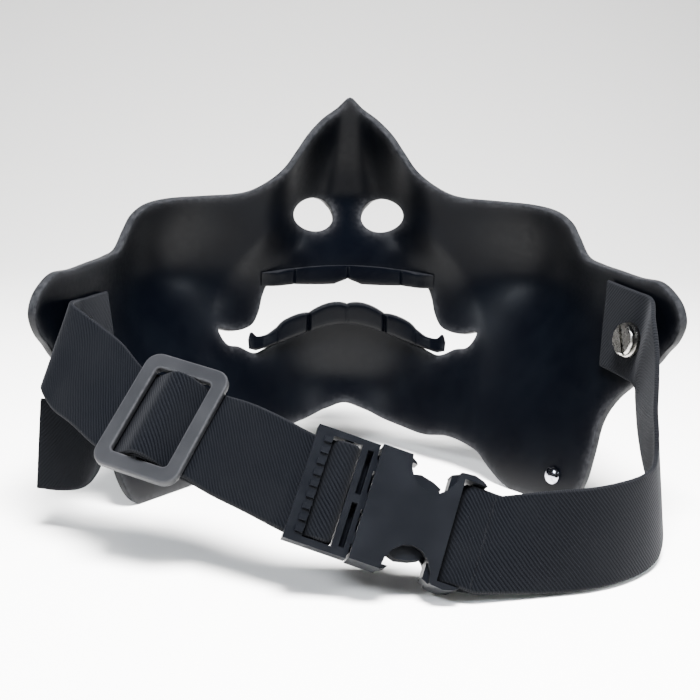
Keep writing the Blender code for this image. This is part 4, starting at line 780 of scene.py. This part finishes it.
# Woven elastic: slanting twill ribs, crossed by fine picks, with a paler cord along each selvedge
RIB_PITCH, PICK_PITCH, END_PITCH, CORD_PITCH, SELVEDGE = 0.00078, 0.00052, 0.00060, 0.00056, 0.0007
elastic, tree, shader = new_material("black_elastic", (0.001, 0.001, 0.0015), 0.80)
weave_map = tree.nodes.new("ShaderNodeUVMap")
weave_map.uv_map = "weave"
weave_place = weave_map.outputs["UV"]
split = tree.nodes.new("ShaderNodeSeparateXYZ")
tree.links.new(weave_place, split.inputs[0])
across, along = split.outputs[0], split.outputs[1]


def wave(place, pitch):
    """The sine of a place in metres, once round in each pitch."""
    return math_node(tree, "SINE", math_node(tree, "MULTIPLY", place, 2.0 * math.pi / pitch))


slant = math_node(tree, "ADD", math_node(tree, "MULTIPLY", along, 0.766),
                  math_node(tree, "MULTIPLY", across, 0.643))
wander = math_node(tree, "MULTIPLY", noise_node(tree, 260.0, 2.0, 0.5, weave_place), 0.0004)
crossing = math_node(tree, "MULTIPLY", wave(along, PICK_PITCH), wave(across, END_PITCH))
weave = math_node(tree, "ADD",
                  math_node(tree, "MULTIPLY", wave(math_node(tree, "ADD", slant, wander), RIB_PITCH), 0.62),
                  math_node(tree, "MULTIPLY", crossing, 0.38))
off_middle = math_node(tree, "SUBTRACT", math_node(tree, "ABSOLUTE", across), STRAP_WIDTH / 2.0)
selvedge_from = STRAP_WIDTH / 2.0 - SELVEDGE
selvedge = range_node(tree, math_node(tree, "ABSOLUTE", off_middle), selvedge_from, selvedge_from + 0.0003,
                      0.0, 1.0)
cord_wave = wave(along, CORD_PITCH)
fuzz = noise_node(tree, 2400.0, 3.0, 0.7, weave_place)
handling = noise_node(tree, 70.0, 4.0, 0.6, weave_place)
rib_tone = blend_tone(tree, weave, -0.8, 0.8, (0.0002, 0.0003, 0.0006), (0.0026, 0.0029, 0.0037))
edge_tone = blend_tone(tree, cord_wave, -1.0, 1.0, (0.0018, 0.0020, 0.0026), (0.0052, 0.0054, 0.0062))
tone = mix_colour(tree, selvedge, rib_tone, edge_tone)
worn_share = range_node(tree, handling, 0.42, 0.75, 0.0, 0.40)
lint_share = range_node(tree, fuzz, 0.60, 0.80, 0.0, 0.45)
worn_tone = mix_colour(tree, worn_share, tone, (0.0024, 0.0026, 0.0032))
tree.links.new(mix_colour(tree, lint_share, worn_tone, (0.0120, 0.0120, 0.0138)), shader.inputs["Base Color"])
tree.links.new(range_node(tree, fuzz, 0.3, 0.7, 0.74, 0.92), shader.inputs["Roughness"])
shader.inputs["Sheen Weight"].default_value = 0.02
shader.inputs["Sheen Roughness"].default_value = 0.45
shader.inputs["Sheen Tint"].default_value = (0.80, 0.82, 0.90, 1.0)
shader.inputs["Specular IOR Level"].default_value = 0.03
weave_height = math_node(tree, "ADD", math_node(tree, "MULTIPLY", weave, 0.5),
                         math_node(tree, "MULTIPLY", math_node(tree, "MULTIPLY", cord_wave, selvedge), 0.4))
bump_node(tree, shader, [(weave_height, 0.75, 0.00012), (fuzz, 0.35, 0.00007)])

for band, node in ((strap_right, "strap_right"), (strap_left, "strap_left")):
    band.data.materials.append(elastic)
    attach(band, "root")
    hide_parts(node)


# Seam
# Black sewing thread: a row across both layers of the right part, next to the sleeve, in short slanting
# stitches that stand up a little from the weave.
stitch_count, stitch_half, stitch_radius, SEAM_FROM_SLEEVE = 17, 0.00066, 0.00019, 0.0021


def tip_faces(sides, last):
    """Triangles from point 0 to a grid's first ring, and from the last point to its last ring."""
    k = np.arange(sides)
    beside = (k + 1) % sides
    near = np.stack([0 * k, 1 + beside, 1 + k], axis=-1)
    far = np.stack([0 * k + last, last - sides + k, last - sides + beside], axis=-1)
    return np.vstack([near, far])


def stitches(name, centre, direction, normal):
    """Long beads, all in one array: for each stitch a ball's grid of polar angle and turn, drawn out
    along its direction."""
    rings, sides = 5, 8
    polar = np.linspace(0.0, math.pi, rings + 2)[1:-1, None]
    turn = np.linspace(0.0, 2.0 * math.pi, sides, endpoint=False)[None]
    ball = np.stack([np.cos(polar) + 0.0 * turn, np.sin(polar) * np.cos(turn), np.sin(polar) * np.sin(turn)],
                    axis=-1)
    ball = np.vstack([[[1.0, 0.0, 0.0]], ball.reshape(-1, 3), [[-1.0, 0.0, 0.0]]])
    bead = ball * (stitch_half, stitch_radius, stitch_radius)
    axes = np.stack([direction, np.cross(normal, direction), normal], axis=1)
    points = centre[:, None] + bead[None] @ axes
    offset = len(bead) * np.arange(len(centre))[:, None, None]
    quads = np.array(grid_faces(rings, sides, round_columns=True, first=1)) + offset
    tips = tip_faces(sides, len(bead) - 1) + offset
    return put_mesh(name, points, quads.reshape(-1, 4).tolist() + tips.reshape(-1, 3).tolist())


near_sleeve = right_edges[len(right_run) - 1:len(right_run) + STRAP_STEPS]
buckle_along, buckle_place = np.array(buckle_frame.col[0].xyz), np.array(buckle_frame.translation)
seam_off = (near_sleeve.mean(axis=1) - buckle_place) @ buckle_along
seam_at = len(right_run) - 1 + int(np.argmin(np.abs(seam_off - SLEEVE_LENGTH - SEAM_FROM_SLEEVE)))
seam_top, seam_bottom = right_edges[seam_at]
seam_share = (np.arange(stitch_count) + 0.5) / stitch_count
seam_line = seam_bottom + (seam_top - seam_bottom) * (0.04 + 0.92 * seam_share)[:, None]
seam_wander = 0.00014 * np.sin(2.3 * np.arange(stitch_count) ** 1.4)  # no sewn row is quite straight
seam_across = (seam_top - seam_bottom) / np.linalg.norm(seam_top - seam_bottom)
seam_along = right_edges[seam_at + 1].mean(axis=0) - right_edges[seam_at - 1].mean(axis=0)
seam_along /= np.linalg.norm(seam_along)
seam_normal = np.cross(seam_across, seam_along)
seam_normal *= np.sign(-seam_normal[1])
seam_direction = np.tile(0.88 * seam_across + 0.47 * seam_along, (stitch_count, 1))
seam_direction /= np.linalg.norm(seam_direction, axis=1, keepdims=True)
seam_line = seam_line + seam_along * seam_wander[:, None]
seam = stitches("strap_seam", seam_line + seam_normal * (STRAP_THICK / 2.0), seam_direction,
                np.tile(seam_normal, (stitch_count, 1)))
thread, tree, shader = new_material("sewing_thread", (0.004, 0.004, 0.005), 0.85)
twist = noise_node(tree, 3800.0, 2.0)
thread_tone = blend_tone(tree, twist, 0.35, 0.65, (0.0008, 0.0009, 0.0014), (0.0042, 0.0044, 0.0052))
tree.links.new(thread_tone, shader.inputs["Base Color"])
shader.inputs["Specular IOR Level"].default_value = 0.08
bump_node(tree, shader, [(twist, 0.5, 0.00005)])
seam.data.materials.append(thread)
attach(seam, "root")


# Screws, posts and studs
# Each strap end is held by a slotted nickel screw in a flat post that passes the wall. A small dark
# chrome stud closes a hole in each corner of the jaw.
POST_RADIUS, POST_THICK, POST_STAND = 0.0050, 0.0018, 0.0005
HEAD_THICK, SHANK_RADIUS, SLOT_WIDTH, SLOT_DEPTH, SLOT_TURN = 0.0029, 0.0024, 0.0011, 0.0011, 1.15
STUD_ARC, STUD_HEIGHT, STUD_RADIUS, STUD_RISE, STUD_SHANK = 0.0844, 0.0084, 0.0027, 0.0013, 0.0011
STUD_STAND, SHANK_SHORT = 0.0003, 0.0006


def wall_axes(arc, height, out):
    """A fastener's axes as rows: level, up and out through the wall, and its place."""
    place = wall_point(arc, height, out)
    normal = wall_normal(np.asarray(arc, float), np.asarray(height, float))
    right = np.cross((0.0, 0.0, 1.0), normal)
    right /= np.linalg.norm(right)
    return np.array([right, np.cross(normal, right), normal]), place


def turned_piece(name, profile, sides, axes, place):
    """A profile of radius and distance along the axis, carried round it, its ends closed at poles."""
    profile = np.asarray(profile, float)
    turn = np.linspace(0.0, 2.0 * math.pi, sides, endpoint=False)[None]
    radius, along = profile[1:-1, :1], profile[1:-1, 1:]
    ring = np.stack(np.broadcast_arrays(radius * np.cos(turn), radius * np.sin(turn), along), axis=-1)
    local = np.vstack([[[0.0, 0.0, profile[0, 1]]], ring.reshape(-1, 3), [[0.0, 0.0, profile[-1, 1]]]])
    faces = grid_faces(len(radius), sides, round_columns=True, first=1)
    faces += tip_faces(sides, len(local) - 1).tolist()
    return put_mesh(name, local @ axes + place, faces, 32.0)


# Nickel with faint stains and a fine brush, and darker chrome with smears
nickel, tree, shader = new_material("nickel", (0.60, 0.58, 0.55), 0.24, 1.0)
stain = noise_node(tree, 420.0, 4.0, 0.6)
brush = noise_node(tree, 5200.0, 2.0)
nickel_tone = blend_tone(tree, stain, 0.38, 0.66, (0.37, 0.36, 0.34), (0.28, 0.27, 0.25))
tree.links.new(nickel_tone, shader.inputs["Base Color"])
tree.links.new(range_node(tree, stain, 0.3, 0.7, 0.22, 0.34), shader.inputs["Roughness"])
bump_node(tree, shader, [(brush, 0.12, 0.00003)])

chrome, tree, shader = new_material("dark_chrome", (0.30, 0.30, 0.33), 0.14, 1.0)
smear = noise_node(tree, 900.0, 3.0)
chrome_tone = blend_tone(tree, smear, 0.4, 0.65, (0.36, 0.36, 0.40), (0.20, 0.20, 0.23))
tree.links.new(chrome_tone, shader.inputs["Base Color"])
tree.links.new(range_node(tree, smear, 0.35, 0.7, 0.08, 0.26), shader.inputs["Roughness"])
bump_node(tree, shader, [(smear, 0.10, 0.00003)])


def tab_depth(side):
    """How far out from the wall the tab's middle lies at the screw, because it spans the wall's hollow."""
    top, bottom = on_wall(side, SCREW_ARC, SCREW_ARC, right_tab[2][2] * SCREW_HEIGHT, TAB_OUT)
    share = (SCREW_HEIGHT - bottom[2]) / (top[2] - bottom[2])
    spot = bottom + (top - bottom) * share
    normal = wall_normal(np.asarray(side * SCREW_ARC), np.asarray(SCREW_HEIGHT))
    return float((spot - wall_point(side * SCREW_ARC, SCREW_HEIGHT)) @ normal)


def slotted_screw(name, shank_end, axes, place):
    """A disc of chords: rows at set places across the slot, each as long as the disc is there. Its height
    is the crown, less the slot's depth between the slot's two sides. A rim, a flange and a shank follow."""
    radius, thick, half, lip = SCREW_HEAD_RADIUS, HEAD_THICK, SLOT_WIDTH / 2.0, 0.00004
    beyond = np.linspace(0.16, 0.985, 12) * radius
    in_slot = (-half, lip - half, -half / 2.0, 0.0, half / 2.0, half - lip, half)
    lines = np.concatenate([-beyond[::-1], in_slot, beyond])[:, None]
    x = np.sqrt(radius ** 2 - lines ** 2) * np.sin(np.linspace(-math.pi / 2.0, math.pi / 2.0, 25))
    y = np.broadcast_to(lines, x.shape)
    crown = 0.16 * thick * np.clip((np.hypot(x, y) / radius - 0.84) / 0.16, 0.0, 1.0) ** 1.6
    z = -thick + np.where(np.abs(y) < half - lip / 2.0, SLOT_DEPTH, crown)
    disc = np.stack([x, y, z], axis=-1).reshape(-1, 3)
    number = np.arange(x.size).reshape(x.shape)
    border = np.concatenate([number[0], number[1:, -1], number[-1, -2::-1], number[-2:0:-1, 0]])
    angle = np.arctan2(disc[border, 1], disc[border, 0])
    # Down the head's side to the shank's end: radius and place along the axis
    side_radius, side_along = np.array([
        (radius, -0.62 * thick), (0.95 * radius, -0.56 * thick), (0.95 * radius, -0.44 * thick),
        (1.06 * radius, -0.38 * thick), (1.08 * radius, -0.20 * thick), (1.06 * radius, 0.0),
        (SHANK_RADIUS, 0.0), (SHANK_RADIUS, shank_end),
    ]).T[:, :, None]
    around = (side_radius * np.cos(angle), side_radius * np.sin(angle), side_along)
    skirt = np.stack(np.broadcast_arrays(*around), axis=-1)
    below = x.size + np.arange(len(side_radius) * len(border)).reshape(-1, len(border))
    ring = np.vstack([border[None], below])
    beside = np.roll(ring, -1, axis=1)
    walls = np.stack([ring[1:], beside[1:], beside[:-1], ring[:-1]], axis=-1).reshape(-1, 4)
    faces = grid_faces(*x.shape) + walls.tolist() + [ring[-1][::-1].tolist()]
    spin = np.array(Matrix.Rotation(-SLOT_TURN, 3, "Z"))
    return put_mesh(name, np.vstack([disc, skirt.reshape(-1, 3)]) @ spin @ axes + place, faces, 32.0)


cap_profile = [(0.0, 0.0), (0.96 * POST_RADIUS, 0.0), (POST_RADIUS, 0.0002), (POST_RADIUS, 0.5 * POST_THICK),
               (0.95 * POST_RADIUS, 0.78 * POST_THICK), (0.84 * POST_RADIUS, 0.95 * POST_THICK),
               (0.60 * POST_RADIUS, POST_THICK), (0.0, POST_THICK)]
dome_turn = np.linspace(0.0, math.pi / 2.0, 8)[1:]
dome = np.stack([STUD_RADIUS * np.sin(dome_turn), -STUD_RISE * np.cos(dome_turn)], axis=1)
stud_profile = [(0.0, -STUD_RISE), *dome.tolist(), (0.94 * STUD_RADIUS, 0.0002), (STUD_SHANK, STUD_STAND),
                (STUD_SHANK, WALL), (0.0, WALL)]
for side, word in ((1.0, "right"), (-1.0, "left")):
    head_seat = tab_depth(side) - STRAP_THICK / 2.0 - STRAP_GAP
    screw_axes = wall_axes(side * SCREW_ARC, SCREW_HEIGHT, head_seat)
    post_axes = wall_axes(side * SCREW_ARC, SCREW_HEIGHT, WALL + POST_STAND)
    stud_axes = wall_axes(side * STUD_ARC, STUD_HEIGHT, -STUD_STAND)
    screw = slotted_screw("screw_" + word, WALL - SHANK_SHORT - head_seat, *screw_axes)
    cap = turned_piece("post_" + word, cap_profile, 48, *post_axes)
    stud = turned_piece("stud_" + word, stud_profile, 40, *stud_axes)
    for piece, metal, node, slot in (
            (screw, nickel, "strap_screw_", "nickel"), (cap, nickel, "strap_post_", "nickel"),
            (stud, chrome, "jaw_stud_", "dark_chrome")):
        piece.data.materials.append(metal)
        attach(piece, "root")
        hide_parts(node + word)


# Slider
# A flat three-bar slider moulded in grey satin plastic. The strap passes behind its long sides and over
# its middle bar, which lies low in the window.
SLIDER_CORNER, WINDOW_CORNER, SLIDER_ROUND = 0.0040, 0.0012, 0.00065
window_half = STRAP_WIDTH / 2.0 + STRAP_GAP
slider_half_width = window_half + SLIDER_END


def corner_loop(half_u, half_w, radius, steps):
    """A rounded rectangle as one loop: four quarter circles of equal steps, with each straight side
    between them cut in four."""
    turn = np.radians(np.linspace(0.0, 90.0, steps))[None] + 0.5 * math.pi * np.arange(4)[:, None]
    corner_u, corner_w = np.array([(1, 1), (-1, 1), (-1, -1), (1, -1)]).T[:, :, None]
    loop = np.stack([corner_u * (half_u - radius) + radius * np.cos(turn),
                     corner_w * (half_w - radius) + radius * np.sin(turn)], axis=-1).reshape(-1, 2)
    step = np.roll(loop, -1, axis=0) - loop
    cuts = np.where(np.arange(len(loop)) % steps == steps - 1, 4, 1)
    cut = np.arange(cuts.sum()) - np.repeat(np.cumsum(cuts) - cuts, cuts)
    return np.repeat(loop, cuts, axis=0) + np.repeat(step, cuts, axis=0) * (cut / 4.0)[:, None]


outer_loop = corner_loop(slider_half, slider_half_width, SLIDER_CORNER, 9)
inner_loop = corner_loop(slider_half - SLIDER_SIDE, window_half, WINDOW_CORNER, 9)
# Round the section: how far in from the outer edge and how high, then the same from the window's edge
quarter = np.linspace(0.0, math.pi / 2.0, 6)
round_in = SLIDER_ROUND * (1.0 - np.sin(quarter))
round_up = SLIDER_THICK / 2.0 - SLIDER_ROUND * (1.0 - np.cos(quarter))
section_in = np.concatenate([round_in, round_in[::-1]])
section_up = np.concatenate([-round_up, round_up[::-1]])
inward = (inner_loop - outer_loop) / np.linalg.norm(inner_loop - outer_loop, axis=1, keepdims=True)
rings = np.concatenate([outer_loop[None] + inward[None] * section_in[:, None, None],
                        inner_loop[None] - inward[None] * section_in[:, None, None]])
rings_up = np.concatenate([section_up, -section_up])[:, None]
slider_grid = np.stack(np.broadcast_arrays(rings[..., 0], rings_up, rings[..., 1]), axis=-1)
slider_faces = grid_faces(*slider_grid.shape[:2], True, True)

# The middle bar: an ellipse carried along the strap's width, a little way into both ends
BAR_SIDES, BAR_BITE = 20, 0.0008
bar_turn = np.linspace(0.0, 2.0 * math.pi, BAR_SIDES, endpoint=False)[None]
bar_rows = np.linspace(-1.0, 1.0, 6)[:, None] * (window_half + BAR_BITE)
bar_half = (SLIDER_BAR_TOP + SLIDER_THICK / 2.0) / 2.0
bar_up = SLIDER_BAR_TOP - bar_half + bar_half * np.sin(bar_turn)
bar_grid = np.stack(np.broadcast_arrays(SLIDER_BAR / 2.0 * np.cos(bar_turn), bar_up, bar_rows), axis=-1)
frame_count, bar_count = slider_grid[..., 0].size, bar_grid[..., 0].size
slider_faces += grid_faces(len(bar_rows), BAR_SIDES, round_columns=True, first=frame_count)
bar_end = frame_count + np.arange(BAR_SIDES)
slider_faces += [bar_end[::-1].tolist(), (bar_end + bar_count - BAR_SIDES).tolist()]
slider_points = np.vstack([slider_grid.reshape(-1, 3), bar_grid.reshape(-1, 3)])
slider_points = slider_points @ np.array(slider_frame.to_3x3()).T + np.array(slider_frame.translation)
slider = put_mesh("slider_moulded", slider_points, slider_faces, 50.0)
# Worn along the middle of each rounded edge
edge_wear = np.clip(1.0 - np.abs(section_in / SLIDER_ROUND - 0.3) / 0.6, 0.0, 1.0)
frame_wear = np.repeat(np.tile(edge_wear, 2), slider_grid.shape[1])
put_pale_edges(slider, "slider_wear", np.concatenate([frame_wear, np.zeros(bar_count)]))
slider_plastic = moulded_plastic("grey_satin_plastic", (0.0058, 0.0061, 0.0070), (0.0084, 0.0087, 0.0099),
                                 0.42, 0.56, 0.14, "slider_wear", (0.020, 0.0204, 0.0225))
slider.data.materials.append(slider_plastic)
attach(slider, "root")
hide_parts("slider")


# Buckle
# A side-release buckle in dark satin plastic, fastened: the prong half with its ridged grip bar on the
# left, its arms held in the sleeve half on the right.
def rounded_copy(node, name, bevel):
    """A node's mesh with its loose corners joined and its flat faces made whole, its edges rounded, and
    its faces shaded flat between them."""
    work = bmesh.new()
    work.from_mesh(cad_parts[node].data)
    bmesh.ops.remove_doubles(work, verts=work.verts, dist=0.00001)
    bmesh.ops.dissolve_limit(work, angle_limit=math.radians(1.5), verts=work.verts, edges=work.edges)
    mesh = bpy.data.meshes.new(name)
    work.to_mesh(mesh)
    work.free()
    mesh.materials.clear()
    piece = bpy.data.objects.new(name, mesh)
    bpy.context.scene.collection.objects.link(piece)
    edges = piece.modifiers.new("rounded_edges", "BEVEL")
    edges.width = bevel
    edges.segments = 2
    edges.limit_method = "ANGLE"
    edges.angle_limit = math.radians(35.0)
    edges.use_clamp_overlap = True
    edges.harden_normals = True
    whole_faces = piece.modifiers.new("whole_faces", "WEIGHTED_NORMAL")
    whole_faces.keep_sharp = True
    mesh.shade_smooth()
    return piece


buckle_plastic = moulded_plastic("dark_plastic", (0.0010, 0.0012, 0.0018), (0.0022, 0.0025, 0.0033),
                                 0.42, 0.55, 0.12)
for node, name in (("buckle_female", "buckle_sleeve"), ("buckle_male", "buckle_prongs")):
    half = rounded_copy(node, name, 0.0003)
    half.data.materials.append(buckle_plastic)
    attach(half, "root")
    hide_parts(node)


bpy.context.view_layer.update()
